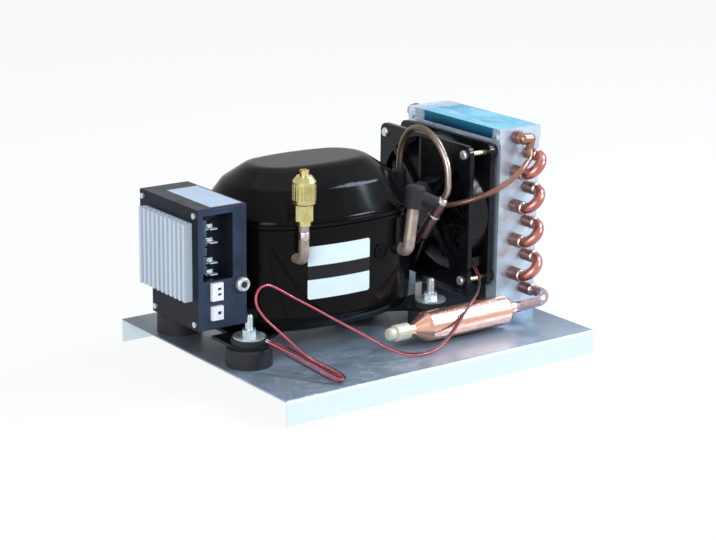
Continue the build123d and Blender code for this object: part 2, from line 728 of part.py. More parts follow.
def make_connecting_rod():
    """Rod from the crank pin to the wrist pin."""
    big = CRANK_PIN_RADIUS + RUNNING
    small = WRIST_PIN_RADIUS + SEAT
    crank_y = SHELL_Y + CRANK_THROW
    big_eye = rod_z(SHELL_X, crank_y, CYLINDER_Z - 4, CYLINDER_Z + 4, big + 3.5)
    small_eye = rod_y(wrist_x(), SHELL_Y - 4, SHELL_Y + 4, CYLINDER_Z, small + 2.0)
    start = Vector(SHELL_X, crank_y, CYLINDER_Z)
    end = Vector(wrist_x(), SHELL_Y, CYLINDER_Z)
    along = end - start
    bar = Plane(origin=(start + end) / 2, x_dir=along, z_dir=(0, 0, 1)) * Box(along.length, 5.0, 5.0)
    rod = big_eye + small_eye + bar
    rod -= rod_z(SHELL_X, crank_y, CYLINDER_Z - 9, CYLINDER_Z + 9, big)
    return rod - rod_y(wrist_x(), SHELL_Y - 9, SHELL_Y + 9, CYLINDER_Z, small)


def make_cylinder_head():
    """Head with its valve plate: two ports from the cylinder into two chambers."""
    x0 = SHELL_X + CYLINDER_FAR
    half = CYLINDER_BORE + CYLINDER_WALL - 1
    head = box(x0, x0 + HEAD_DEPTH, SHELL_Y - half, SHELL_Y + half, CYLINDER_Z - half, CYLINDER_Z + half)
    head = fillet(head.edges().filter_by(Axis.X), 5.0)
    for side in (-1, 1):
        y0 = SHELL_Y + side * 1.5
        y1 = SHELL_Y + side * 12.0
        chamber_x = x0 + VALVE_PLATE
        head -= box(
            chamber_x, x0 + HEAD_DEPTH - 4, min(y0, y1), max(y0, y1), CYLINDER_Z - 9, CYLINDER_Z + 9
        )
        head -= rod_x(x0 - 1, chamber_x + 1, SHELL_Y + side * 4.5, CYLINDER_Z, 2.0)
    return head


# ---------------------------------------------------------------- tubes on the compressor
def suction_points():
    """Route of the suction tube out of the front of the shell and up, leaning to the right."""
    x = SHELL_X + SUCTION_X
    z = SHELL_BASE + SUCTION_LIFT - 15.0
    y_wall = shell_side(x)
    y_out = y_wall - SUCTION_REACH
    lean = math.radians(SUCTION_LEAN)
    top = (x + SUCTION_RISE * math.sin(lean), y_out, z + SUCTION_RISE * math.cos(lean))
    return [(x, y_wall + SHELL_WALL, z), (x, y_out, z), top]


def suction_axis():
    """Unit vector up the leaning part of the suction tube."""
    lean = math.radians(SUCTION_LEAN)
    return Vector(math.sin(lean), 0, math.cos(lean))


def process_points():
    """Route of the process tube out of the front of the shell and straight up."""
    x = SHELL_X + PROCESS_X
    z = SHELL_BASE + PROCESS_LIFT - 18.0
    y_wall = shell_side(x)
    y_out = y_wall - PROCESS_REACH
    return [(x, y_wall + SHELL_WALL, z), (x, y_out, z), (x, y_out, z + PROCESS_RISE)]


def discharge_points():
    """Route of the thin discharge line: out of the right end, up, over and down to the high-side stub."""
    wall = SHELL_RIGHT - SHELL_WALL - 0.4
    x = SHELL_RIGHT + 8.3
    y = SHELL_Y + 6.5
    z = SHELL_BASE
    end = high_side_top()
    before = end - (high_side_end() - end).normalized() * 10
    return [
        (wall, y, z + 59),
        (x, y, z + 59),
        (x + 0.1, y + 0.5, z + 95),
        (x + 1.2, y, z + 121),
        (x + 2.2, y - 11.5, z + 137.5),
        (x + 2.5, y - 30.5, z + 139.5),
        (x + 3.7, y - 46.5, z + 131),
        (x + 4.7, y - 58.5, z + 114),
        tuple(before),
        tuple(end),
    ]


def high_side_top():
    """Upper end of the high-side stub."""
    return Vector(SHELL_RIGHT + 10.5, SHELL_Y - 49, SHELL_BASE + 85)


def high_side_end():
    """Lower, pinched end of the high-side stub."""
    return high_side_top() + Vector(-6, 22, -38)


def elbow_corners():
    """Start, two corners and end of the forged elbow on the condenser's top left tube."""
    x, z = LEFT_TUBES[0]
    y = CONDENSER_FRONT - ELBOW_STUB
    return [
        Vector(x, y, z),
        Vector(x, y - 5, z),
        Vector(x + ELBOW_REACH, y - 5, z - 0.5),
        Vector(x + ELBOW_REACH, y - 5.5, z - ELBOW_DROP - 0.5),
    ]


def inlet_points():
    """Route of the thin line from the side of the high-side stub to the condenser's elbow."""
    top = high_side_top()
    along = (high_side_end() - top).normalized()
    start = top + along * 5.5
    end = elbow_corners()[-1]
    return [
        tuple(start),
        (top.X + 3.5, top.Y - 6, top.Z - 3),
        (top.X + 12.5, CONDENSER_FRONT - 4, top.Z + 1.5),
        (top.X + 28.5, CONDENSER_FRONT - 14.5, top.Z + 9),
        (end.X - 24.5, CONDENSER_FRONT - 20, end.Z - 20.5),
        (end.X - 12.5, CONDENSER_FRONT - 19.5, end.Z - 11.5),
        (end.X - 2.5, end.Y - 3.5, end.Z - 8),
        tuple(end),
    ]


def suction_hole():
    """Hole in the shell for the suction tube."""
    (x, y, z), *_ = suction_points()
    return rod_y(x, y - 4 * SHELL_WALL, y + 4 * SHELL_WALL, z, SUCTION_RADIUS)


def process_hole():
    """Hole in the shell for the process tube."""
    (x, y, z), *_ = process_points()
    return rod_y(x, y - 4 * SHELL_WALL, y + 4 * SHELL_WALL, z, PROCESS_RADIUS)


def discharge_hole():
    """Hole in the shell for the discharge line."""
    (x, y, z), *_ = discharge_points()
    return rod_x(x - 4 * SHELL_WALL, x + 4 * SHELL_WALL, y, z, DISCHARGE_RADIUS)


def make_suction_cap():
    """Rubber cap on the suction tube with an arm that bends down to the right."""
    axis = suction_axis()
    top = Vector(*suction_points()[-1])
    plane = Plane(origin=top - axis * CAP_COVER, z_dir=axis)
    height = CAP_COVER + CAP_TOP
    outer = SUCTION_RADIUS + SLIDE_FIT + CAP_WALL
    cap = plane * Pos(0, 0, height / 2) * Cylinder(outer, height)
    cap = fillet(cap.edges().filter_by(GeomType.CIRCLE).sort_by(Axis.Z)[-1], 3.0)
    arm_start = top - axis * 1.0
    arm_end = arm_start + Vector(13, -12, -7)
    arm = Plane(origin=arm_start, z_dir=arm_end - arm_start)
    length = (arm_end - arm_start).length
    arm_solid = arm * Pos(0, 0, length / 2) * Cylinder(5.0, length)
    cap += fillet(arm_solid.edges().filter_by(GeomType.CIRCLE).sort_by(Axis.X)[-1], 1.0)
    bore = plane * Pos(0, 0, CAP_COVER / 2 - 1) * Cylinder(SUCTION_RADIUS + SLIDE_FIT, CAP_COVER + 2)
    return cap - bore


def valve_base():
    """Lower end of the brass valve, on top of the process tube."""
    return Vector(*process_points()[-1])


def make_valve_body():
    """Brass valve: a hexagon over the tube and a nose that the cap screws on."""
    base = valve_base()
    z0 = base.Z - 6.0
    nose_top = base.Z + VALVE_BODY_HEIGHT - 6.0 + VALVE_NOSE_HEIGHT
    body = hexagon_z(base.X, base.Y, z0, base.Z + VALVE_BODY_HEIGHT - 6.0, VALVE_HEX)
    body += rod_z(base.X, base.Y, z0 - 4.0, z0 + 1, PROCESS_RADIUS + 1.4)
    body += rod_z(base.X, base.Y, z0, nose_top, VALVE_NOSE_RADIUS)
    body -= rod_z(base.X, base.Y, z0 - 6.0, base.Z, PROCESS_RADIUS)
    return body - rod_z(base.X, base.Y, base.Z - 1, nose_top + 1, CORE_PIN_RADIUS + RUNNING)


def nose_top():
    """Upper end of the valve's nose."""
    return valve_base().Z + VALVE_BODY_HEIGHT - 6.0 + VALVE_NOSE_HEIGHT


def make_valve_pin():
    """Spring-loaded core pin that opens the valve when it is pressed."""
    base = valve_base()
    return rod_z(base.X, base.Y, nose_top() - 9.0, nose_top() + 0.5, CORE_PIN_RADIUS)


def make_valve_cap():
    """Brass cap: knurled skirt, tapered top and two prongs that fit the core."""
    base = valve_base()
    z0 = base.Z + VALVE_BODY_HEIGHT - 6.0 + 0.3
    z1 = z0 + VALVE_CAP_HEIGHT
    cap = rod_z(base.X, base.Y, z0, z1, VALVE_CAP_RADIUS)
    cap = chamfer(cap.edges().group_by(Axis.Z)[-1], 4.0, 3.0)
    cap = chamfer(cap.edges().group_by(Axis.Z)[0], 1.2)
    for turn in range(24):
        angle = 2 * math.pi * turn / 24
        x = base.X + VALVE_CAP_RADIUS * math.cos(angle)
        y = base.Y + VALVE_CAP_RADIUS * math.sin(angle)
        cap -= rod_z(x, y, z0 + 4, z1 - 6, 0.55)
    prongs = rod_z(base.X, base.Y, z1 - 1, z1 + VALVE_PRONG_HEIGHT, 3.6)
    prongs -= box(base.X - 5, base.X + 5, base.Y - 1.1, base.Y + 1.1, z1, z1 + VALVE_PRONG_HEIGHT + 1)
    cap += prongs
    bore = VALVE_NOSE_RADIUS + 0.3
    return cap - rod_z(base.X, base.Y, z0 - 1, nose_top() + 1.2, bore)


def make_discharge_sleeve():
    """Black rubber sleeve pushed over the rising part of the discharge line."""
    upper = discharge_points()[2]
    z1 = upper[2] + 6.0
    sleeve = rod_z(upper[0], upper[1], z1 - SLEEVE_LENGTH, z1, SLEEVE_RADIUS)
    sleeve = fillet(sleeve.edges().group_by(Axis.Z)[-1], 2.5)
    return sleeve - tube(discharge_points(), DISCHARGE_RADIUS)


def make_high_side_stub():
    """Thick stub tube: closed by braze round the thin lines above, pinched flat below."""
    top = high_side_top()
    end = high_side_end()
    along = (end - top).normalized()
    length = (end - top).length
    frame = Plane(origin=top, x_dir=along.cross(Vector(0, 0, 1)), z_dir=along)
    stub = frame * Pos(0, 0, length / 2) * Cylinder(HIGH_SIDE_RADIUS, length)
    stub -= frame * Pos(0, 0, (length + 3) / 2) * Cylinder(HIGH_SIDE_RADIUS - THIN_WALL, length - 15)
    stub -= frame * Pos(0, HIGH_SIDE_RADIUS, length) * Box(30, 2 * HIGH_SIDE_RADIUS - 3.4, 14)
    stub -= frame * Pos(0, -HIGH_SIDE_RADIUS, length) * Box(30, 2 * HIGH_SIDE_RADIUS - 3.4, 14)
    first, second, *_ = inlet_points()
    return stub - tube([first, second], INLET_RADIUS)


def make_inlet_line():
    """Thin line with the forged elbow that it is brazed into."""
    elbow = None
    corners = elbow_corners()
    for start, end in zip(corners, corners[1:]):
        run = end - start
        frame = Plane(origin=start + run / 2, z_dir=run)
        leg = frame * Cylinder(ELBOW_RADIUS, run.length)
        if end is corners[-1]:
            leg = frame * Cone(ELBOW_RADIUS, INLET_RADIUS + 0.8, run.length)
        elbow = leg if elbow is None else elbow + leg
        if end is not corners[-1]:
            elbow += Pos(*end) * Sphere(ELBOW_RADIUS)
    return elbow + tube(inlet_points(), INLET_RADIUS)


# ---------------------------------------------------------------- condenser
def plate_screw_places():
    """Screws up through the tray into the end plates' feet."""
    places = []
    for x in (CONDENSER_LEFT + 8, CONDENSER_RIGHT - 8):
        places.append((x, CONDENSER_FRONT + 6.0))
        places.append((x, CONDENSER_BACK - 6.0))
    return places


def cover_screw_places():
    """Screws through the cover's left lip into the end plates' flanges."""
    z = CONDENSER_TOP - COVER_LIP / 2 - 1
    return [(CONDENSER_FRONT + 5.0, z), (CONDENSER_BACK - 5.0, z)]


def make_end_plate(front):
    """End plate: a sheet channel with flanges on both sides and a foot on the tray."""
    y = CONDENSER_FRONT if front else CONDENSER_BACK
    inward = 1 if front else -1
    x0 = CONDENSER_LEFT
    x1 = CONDENSER_RIGHT - COVER_SHEET
    z1 = CONDENSER_TOP - COVER_SHEET
    y_in = y + inward * PLATE_FLANGE
    plate = box(x0, x1, min(y, y_in), max(y, y_in), TRAY_TOP, z1)
    y_sheet = y + inward * PLATE_SHEET
    y_far = y + inward * 2 * PLATE_FLANGE
    plate -= box(
        x0 + PLATE_SHEET, x1 - PLATE_SHEET,
        min(y_sheet, y_far), max(y_sheet, y_far),
        TRAY_TOP + PLATE_SHEET, z1 + 1,
    )
    for x, z in LEFT_TUBES + RIGHT_TUBES:
        plate -= rod_y(x, y - 2 * PLATE_FLANGE, y + 2 * PLATE_FLANGE, z, TUBE_RADIUS + SEAT)
    for hole_y, hole_z in FAN_HOLES:
        plate -= rod_x(x0 - 5, x0 + 5, hole_y, hole_z, FAN_HOLE_RADIUS)
    for screw_y, screw_z in cover_screw_places():
        plate -= rod_x(x0 - 5, x0 + 5, screw_y, screw_z, 1.5 + SEAT)
    for x, screw_y in plate_screw_places():
        plate -= rod_z(x, screw_y, TRAY_TOP - 1, TRAY_TOP + 5, CASE_SCREW_RADIUS + 0.1)
    return plate


def make_cover():
    """Top cover with a lip down each side."""
    x0 = CONDENSER_LEFT - COVER_SHEET
    x1 = CONDENSER_RIGHT
    y0 = CONDENSER_FRONT
    y1 = CONDENSER_BACK
    cover = box(x0, x1, y0, y1, CONDENSER_TOP - COVER_LIP, CONDENSER_TOP)
    cover -= box(
        x0 + COVER_SHEET, x1 - COVER_SHEET, y0 - 1, y1 + 1,
        CONDENSER_TOP - 2 * COVER_LIP, CONDENSER_TOP - COVER_SHEET,
    )
    for y, z in cover_screw_places():
        cover -= rod_x(x0 - 5, x0 + 5, y, z, 1.5 + SEAT)
    return cover


def make_film():
    """Blue protective film over the cover's top and most of its left lip."""
    x0 = CONDENSER_LEFT - COVER_SHEET
    y0 = CONDENSER_FRONT + 0.5
    y1 = CONDENSER_BACK - FILM_END
    top = box(x0, CONDENSER_RIGHT - 0.5, y0, y1, CONDENSER_TOP, CONDENSER_TOP + FILM_THICKNESS)
    lip = box(
        x0 - FILM_THICKNESS, x0, y0 + FILM_END, y1,
        CONDENSER_TOP - FILM_LIP, CONDENSER_TOP + FILM_THICKNESS,
    )
    return top + lip


def make_screws():
    """Four screws through the tray and two through the cover's lip."""
    screws = []
    for x, y in plate_screw_places():
        head_top = TRAY_TOP - TRAY_SHEET
        screw = rod_z(x, y, head_top - 1, TRAY_TOP + PLATE_SHEET + 2.0, CASE_SCREW_RADIUS)
        screws.append(screw + rod_z(x, y, head_top - 2.4, head_top, 3.8))
    for y, z in cover_screw_places():
        x0 = CONDENSER_LEFT - COVER_SHEET
        screw = rod_x(x0 - 1, x0 + 4, y, z, 1.5)
        screws.append(screw + rod_x(x0 - 2.0, x0, y, z, 3.0))
    return group(screws)


def make_tubes():
    """Ten straight tubes with belled ends."""
    tubes = []
    for x, z in LEFT_TUBES + RIGHT_TUBES:
        short = (x, z) == LEFT_TUBES[0]
        y_front = CONDENSER_FRONT - ELBOW_STUB if short else STUB_FRONT
        solid = rod_y(x, y_front, STUB_BACK, z, TUBE_RADIUS)
        solid += rod_y(x, y_front, CONDENSER_FRONT - 1, z, STUB_BELL_RADIUS)
        solid += rod_y(x, CONDENSER_BACK + 1, STUB_BACK, z, STUB_BELL_RADIUS)
        solid -= rod_y(x, y_front - 1, STUB_BACK + 1, z, TUBE_RADIUS - TUBE_WALL)
        solid -= rod_y(x, STUB_BACK - BELL_DEPTH, STUB_BACK + 1, z, BEND_TUBE_RADIUS + SEAT)
        if not short:
            solid -= rod_y(x, STUB_FRONT - 1, STUB_FRONT + BELL_DEPTH, z, BEND_TUBE_RADIUS + SEAT)
        tubes.append(solid)
    return group(tubes)


def make_bend(low, high, front):
    """U-shaped return bend between two tubes, pushed into their bells."""
    (x0, z0), (x1, z1) = low, high
    outward = -1 if front else 1
    y = STUB_FRONT if front else STUB_BACK
    y_in = y - outward * (BELL_DEPTH - 0.2)
    middle = Vector((x0 + x1) / 2, y, (z0 + z1) / 2)
    reach = math.hypot(x1 - x0, z1 - z0) / 2
    arc = ThreePointArc((x0, y, z0), middle + Vector(0, outward * reach, 0), (x1, y, z1))
    path = Wire([Line((x0, y_in, z0), (x0, y, z0)), arc, Line((x1, y, z1), (x1, y_in, z1))])
    start = Plane(origin=(x0, y_in, z0), z_dir=(0, outward, 0))
    bend = sweep(start * Circle(BEND_TUBE_RADIUS), path=path)
    return bend - sweep(start * Circle(BEND_TUBE_RADIUS - TUBE_WALL), path=path)


def make_bends():
    """Four bends on the front and five on the back."""
    bends = [make_bend(LEFT_TUBES[row + 1], RIGHT_TUBES[row], True) for row in range(TUBE_ROWS - 1)]
    bends += [make_bend(RIGHT_TUBES[row], LEFT_TUBES[row], False) for row in range(TUBE_ROWS)]
    return group(bends)


def make_fins():
    """Stack of thin fins, each pierced by the ten tubes."""
    x0 = CONDENSER_LEFT + PLATE_SHEET + FIN_INSET
    x1 = CONDENSER_RIGHT - COVER_SHEET - PLATE_SHEET - FIN_MARGIN
    z0 = TRAY_TOP + FIN_FOOT_GAP
    z1 = CONDENSER_TOP - COVER_SHEET - FIN_TOP_GAP
    fin = box(x0, x1, 0, FIN_THICKNESS, z0, z1)
    for x, z in LEFT_TUBES + RIGHT_TUBES:
        fin -= rod_y(x, -1, 1, z, TUBE_RADIUS + SEAT)
    span = CONDENSER_WIDTH - 2 * PLATE_SHEET - FIN_PITCH
    count = int(span / FIN_PITCH)
    first = CONDENSER_Y - (count - 1) * FIN_PITCH / 2 - FIN_THICKNESS / 2
    return group([Pos(0, first + index * FIN_PITCH, 0) * fin for index in range(count)])


# ---------------------------------------------------------------- fan
def fan_square(x0, x1):
    """Square flange with rounded corners and four holes."""
    half = FAN_SIZE / 2
    flange = box(x0, x1, FAN_Y - half, FAN_Y + half, FAN_Z - half, FAN_Z + half)
    flange = fillet(flange.edges().filter_by(Axis.X), FAN_CORNER)
    for y, z in FAN_HOLES:
        flange -= rod_x(x0 - 1, x1 + 1, y, z, FAN_HOLE_RADIUS)
    return flange


def make_fan_frame():
    """Frame: two flanges on a ring, and struts that hold the motor cup on the outlet side."""
    frame = fan_square(FAN_FRONT, FAN_FRONT + FAN_FLANGE)
    frame += fan_square(FAN_BACK - FAN_FLANGE, FAN_BACK)
    frame += rod_x(FAN_FRONT, FAN_BACK, FAN_Y, FAN_Z, FAN_BORE_RADIUS + FAN_RING_WALL)
    frame += box(
        FAN_FRONT + 1, FAN_BACK - FAN_FLANGE,
        LEAD_BLOCK_Y, FAN_Y - FAN_BORE_RADIUS + 12,
        LEAD_BLOCK_Z - 4, LEAD_BLOCK_Z + 4,
    )
    frame -= rod_x(FAN_FRONT - 1, FAN_BACK + 1, FAN_Y, FAN_Z, FAN_BORE_RADIUS)
    cup_x = FAN_FRONT + CUP_DEPTH
    struts = rod_x(FAN_FRONT, cup_x, FAN_Y, FAN_Z, HUB_RADIUS)
    for turn in range(STRUT_COUNT):
        angle = 45 + 360 * turn / STRUT_COUNT
        strut = box(
            FAN_FRONT, cup_x, -STRUT_WIDTH / 2, STRUT_WIDTH / 2, HUB_RADIUS - 2, FAN_BORE_RADIUS + 1
        )
        struts += Pos(0, FAN_Y, FAN_Z) * Rot(angle, 0, 0) * strut
    struts += rod_x(FAN_FRONT, BEARING_END, FAN_Y, FAN_Z, BEARING_RADIUS + SEAT + BEARING_TUBE_WALL)
    struts -= rod_x(FAN_FRONT + 1, FAN_BACK, FAN_Y, FAN_Z, BEARING_RADIUS + SEAT)
    return frame + struts


def make_fan_bearing():
    """Sleeve bearing in the motor cup's tube."""
    sleeve = rod_x(BEARING_START, BEARING_END, FAN_Y, FAN_Z, BEARING_RADIUS)
    return sleeve - rod_x(BEARING_START - 1, BEARING_END + 1, FAN_Y, FAN_Z, SHAFT_RADIUS + RUNNING)


def make_fan_coil():
    """Four-pole coil round the bearing tube."""
    inner = BEARING_RADIUS + BEARING_TUBE_WALL + 2 * SEAT
    coil = rod_x(HUB_START + 1, BEARING_END - 1, FAN_Y, FAN_Z, COIL_RADIUS)
    coil -= rod_x(HUB_START, BEARING_END, FAN_Y, FAN_Z, inner)
    for turn in range(4):
        notch = box(HUB_START, BEARING_END, -1.5, 1.5, COIL_RADIUS - 5, COIL_RADIUS + 1)
        coil -= Pos(0, FAN_Y, FAN_Z) * Rot(45 + 90 * turn, 0, 0) * notch
    return coil


def make_fan_shaft():
    """Steel shaft fixed in the hub."""
    return rod_x(BEARING_START + 0.5, HUB_END - HUB_WALL / 2, FAN_Y, FAN_Z, SHAFT_RADIUS)


def make_fan_rotor():
    """Hub cup with pitched blades."""
    hub = rod_x(HUB_START, HUB_END, FAN_Y, FAN_Z, HUB_RADIUS)
    hub = fillet(hub.edges().group_by(Axis.X)[-1], 2.0)
    hub -= rod_x(HUB_START - 1, HUB_END - HUB_WALL, FAN_Y, FAN_Z, HUB_RADIUS - HUB_WALL)
    tip = FAN_BORE_RADIUS - FAN_TIP_GAP
    middle = (HUB_START + HUB_END) / 2
    band = rod_x(HUB_START, HUB_END, 0, 0, tip) - rod_x(HUB_START - 1, HUB_END + 1, 0, 0, HUB_RADIUS - 0.5)
    rotor = hub
    for turn in range(BLADE_COUNT):
        blade = Pos(middle, 0, tip / 2) * Rot(0, 0, BLADE_PITCH) * Box(BLADE_THICKNESS, 2 * BLADE_CHORD, tip)
        blade = blade & (band & box(HUB_START, HUB_END, -BLADE_CHORD / 2, BLADE_CHORD / 2, 0, tip + 1))
        rotor += Pos(0, FAN_Y, FAN_Z) * Rot(360 * turn / BLADE_COUNT, 0, 0) * blade
    rotor += rod_x(BEARING_END + 0.5, HUB_END - 1, FAN_Y, FAN_Z, SHAFT_RADIUS + 2)
    return rotor - rod_x(HUB_START, HUB_END - HUB_WALL / 2, FAN_Y, FAN_Z, SHAFT_RADIUS)


def make_fan_bolt(y, z):
    """Long bolt through both flanges, the spacer and the end plate's flange."""
    end = CONDENSER_LEFT + PLATE_SHEET + 3.5
    bolt = rod_x(FAN_FRONT - 1, end, y, z, FAN_BOLT_RADIUS)
    head = rod_x(FAN_FRONT - 2.6, FAN_FRONT, y, z, FAN_BOLT_HEAD)
    return bolt + fillet(head.edges().group_by(Axis.X)[0], 1.6)


def make_fan_spacer(y, z):
    """Spacer between the fan and the end plate's flange, on one bolt."""
    spacer = rod_x(FAN_BACK, CONDENSER_LEFT, y, z, SPACER_RADIUS)
    return spacer - rod_x(FAN_BACK - 1, CONDENSER_LEFT + 1, y, z, FAN_BOLT_RADIUS + SEAT)


def make_fan_nut(y, z):
    """Hexagon nut behind the end plate's flange."""
    x0 = CONDENSER_LEFT + PLATE_SHEET
    nut = Pos(x0, y, z) * Rot(0, 90, 0) * extrude(RegularPolygon(3.5, 6, major_radius=False), 3.0)
    return nut - rod_x(x0 - 1, x0 + 4, y, z, FAN_BOLT_RADIUS + SEAT)


# ---------------------------------------------------------------- filter drier and liquid line
def liquid_points():
    """Route of the liquid line from the bottom right tube round to the drier."""
    x, z = RIGHT_TUBES[-1]
    return [
        (x, STUB_FRONT + BELL_DEPTH - 0.4, z),
        (x, STUB_FRONT - 3.5, z),
        (x + 2, STUB_FRONT - 12, z - 0.8),
        (x - 5.5, DRIER_Y - 6.5, z - 2.7),
        (x - 18.5, DRIER_Y - 3, DRIER_Z + 1.6),
        (DRIER_RIGHT + 6, DRIER_Y, DRIER_Z),
        (DRIER_RIGHT - 2, DRIER_Y, DRIER_Z),
    ]


def drier_profile(grow):
    """Half section of the drier, right to left, moved outwards by grow."""
    right_neck = LIQUID_RADIUS + SEAT + DRIER_WALL + grow
    left_neck = DRIER_BORE_RADIUS + DRIER_WALL + grow
    body = DRIER_RADIUS + grow
    return [
        (DRIER_RIGHT + 4, right_neck),
        (DRIER_RIGHT - 1, right_neck),
        (DRIER_RIGHT - 4, body - 1.5),
        (DRIER_RIGHT - 7, body),
        (DRIER_LEFT, body),
        (DRIER_LEFT - 3, body - 1.2),
        (DRIER_LEFT - DRIER_NECK_LENGTH, left_neck),
        (DRIER_LEFT - DRIER_NECK_LENGTH - DRIER_SPOUT, left_neck),
    ]


def turn_about_drier(profile):
    """Solid of revolution of a half section about the drier's axis."""
    first, last = profile[0], profile[-1]
    outline = Polyline(*profile, (last[0], 0), (first[0], 0), close=True)
    face = make_face(Plane.XY * outline)
    return Pos(0, DRIER_Y, DRIER_Z) * revolve(face, Axis.X)


def make_drier_shell():
    """Spun copper shell, open at both ends."""
    inner = drier_profile(-DRIER_WALL)
    inner[0] = (inner[0][0] + 1, inner[0][1])
    inner[-1] = (inner[-1][0] - 1, inner[-1][1])
    shell = turn_about_drier(drier_profile(0)) - turn_about_drier(inner)
    return shell


def make_drier_core():
    """Block of desiccant held inside the shell."""
    gap = DRIER_RADIUS - DRIER_WALL - SEAT
    return rod_x(DRIER_LEFT + 4, DRIER_RIGHT - 12, DRIER_Y, DRIER_Z, gap)


def make_drier_plug():
    """Soft plug pushed over the drier's outlet: a collar and a rounded tip."""
    end = DRIER_LEFT - DRIER_NECK_LENGTH - DRIER_SPOUT
    neck = DRIER_BORE_RADIUS + DRIER_WALL + SLIDE_FIT
    collar = rod_x(end - 1.0, DRIER_LEFT - DRIER_NECK_LENGTH - 5, DRIER_Y, DRIER_Z, PLUG_RADIUS)
    collar = fillet(collar.edges(), 0.8)
    tip = rod_x(end - 1.0 - PLUG_TIP_LENGTH, end, DRIER_Y, DRIER_Z, PLUG_TIP_RADIUS)
    tip = fillet(tip.edges().group_by(Axis.X)[0], 2.5)
    plug = collar + tip
    return plug - rod_x(end, DRIER_LEFT, DRIER_Y, DRIER_Z, neck)


# ---------------------------------------------------------------- fan lead
def make_hank():
    """Outer shape of the folded end of the lead, leaning from the tray onto the front left foot."""
    low = Vector(*HANK_LOW)
    along = Vector(*HANK_HIGH) - low
    sideways = along.cross(Vector(0, 0, 1))
    plane = Plane(origin=low + along / 2, x_dir=along, z_dir=sideways.cross(along))
    bundle = Box(along.length, HANK_WIDTH, HANK_THICKNESS)
    return plane * fillet(bundle.edges().filter_by(Axis.X), 2.5)


def make_lead():
    """Free stretch of the lead, from the fan to its hank."""
    return tube(CORD_POINTS, CORD_RADIUS) - make_hank()


# ---------------------------------------------------------------- controller
def controller_outline(inset):
    """Side view of the case, seen along X: full length above, cut back at the lower rear."""
    y0 = CONTROLLER_Y + inset
    y1 = CONTROLLER_Y + CONTROLLER_LENGTH - inset
    y_foot = CONTROLLER_Y + CONTROLLER_FOOT_LENGTH - inset
    z0 = CONTROLLER_Z + inset
    z1 = CONTROLLER_TOP - inset
    z_step = CONTROLLER_Z + CONTROLLER_STEP_HEIGHT + inset
    slope = CONTROLLER_LENGTH - CONTROLLER_FOOT_LENGTH
    return Polygon(
        (y0, z0), (y_foot, z0), (y_foot, z_step - inset), (y1, z_step - inset + slope), (y1, z1), (y0, z1),
        align=None,
    )


def along_x(face, x0, x1):
    """Prism of a Y-Z outline between two X places."""
    plane = Plane(origin=(x0, 0, 0), x_dir=(0, 1, 0), z_dir=(1, 0, 0))
    return extrude(plane * face, x1 - x0)


def recess():
    """X and Z limits of the recess in the controller's front."""
    x0 = CONTROLLER_LEFT + RECESS_SIDE_WALL
    z0 = CONTROLLER_Z + RECESS_LOW
    z1 = CONTROLLER_TOP - RECESS_TOP_WALL
    return x0, x0 + RECESS_WIDTH, z0, z1


def make_case():
    """Case, open towards the cover, with a recess for the terminals in its front."""
    x_open = CONTROLLER_LEFT + CONTROLLER_COVER
    case = along_x(controller_outline(0), x_open, CONTROLLER_RIGHT)
    case = fillet(case.edges().filter_by(Axis.X), 1.2)
    inside = along_x(controller_outline(CONTROLLER_WALL), x_open - 1, CONTROLLER_RIGHT - CONTROLLER_WALL)
    x0, x1, z0, z1 = recess()
    wall = CONTROLLER_WALL
    floor_y = CONTROLLER_Y + RECESS_DEPTH
    inside -= box(x_open - 2, x1 + wall, CONTROLLER_Y, floor_y + wall, z0 - wall, z1 + wall)
    case -= inside
    case -= box(max(x0, x_open), x1, CONTROLLER_Y - 1, floor_y, z0, z1)
    case -= rod_x(
        CONTROLLER_RIGHT - 5, CONTROLLER_RIGHT + 1, SHELL_Y, TERMINAL_Z, TERMINAL_RADIUS - 1
    )
    for y, z in case_screw_places():
        post = rod_x(x_open, x_open + 12, y, z, 4.0) & along_x(controller_outline(0.5), x_open, x_open + 13)
        case += post
        case -= rod_x(x_open - 1, x_open + 9, y, z, 1.5 + SEAT)
    (fix_x, fix_z) = fixing_screw_place()
    case -= rod_y(fix_x, CONTROLLER_Y - 1, CONTROLLER_Y + 12, fix_z, 2.0 + SEAT)
    return case


def case_screw_places():
    """Screws at the corners of the cover."""
    low = CONTROLLER_Z + CASE_SCREW_INSET
    high = CONTROLLER_TOP - CASE_SCREW_INSET
    near = CONTROLLER_Y + CASE_SCREW_INSET
    return [
        (near, low),
        (near, high),
        (CONTROLLER_Y + CONTROLLER_FOOT_LENGTH - CASE_SCREW_INSET, low),
        (CONTROLLER_Y + CONTROLLER_LENGTH - CASE_SCREW_INSET, high),
    ]


def fixing_screw_place():
    """Place of the large slotted screw at the front's right edge."""
    return CONTROLLER_RIGHT - 4.5, CONTROLLER_Z + 32.0


def make_cover_plate():
    """Side cover that closes the case."""
    plate = along_x(controller_outline(0), CONTROLLER_LEFT, CONTROLLER_LEFT + CONTROLLER_COVER)
    plate = fillet(plate.edges().filter_by(Axis.X), 1.2)
    for y, z in case_screw_places():
        plate -= rod_x(CONTROLLER_LEFT - 1, CONTROLLER_LEFT + 5, y, z, 1.5 + SEAT)
    return plate


def make_heat_sink():
    """Extruded heat sink: a base on the cover with upright fins."""
    z1 = CONTROLLER_TOP - SINK_DROP
    z0 = z1 - SINK_HEIGHT
    y0 = CONTROLLER_Y + SINK_NEAR
    y1 = y0 + SINK_LENGTH
    x1 = CONTROLLER_LEFT
    x0 = x1 - SINK_BASE
    sink = box(x0, x1, y0, y1, z0, z1)
    step = (SINK_LENGTH - SINK_FIN) / (SINK_FINS - 1)
    for fin in range(SINK_FINS):
        y = y0 + fin * step
        sink += box(x0 - SINK_FIN_REACH, x0 + 0.1, y, y + SINK_FIN, z0, z1)
    return sink


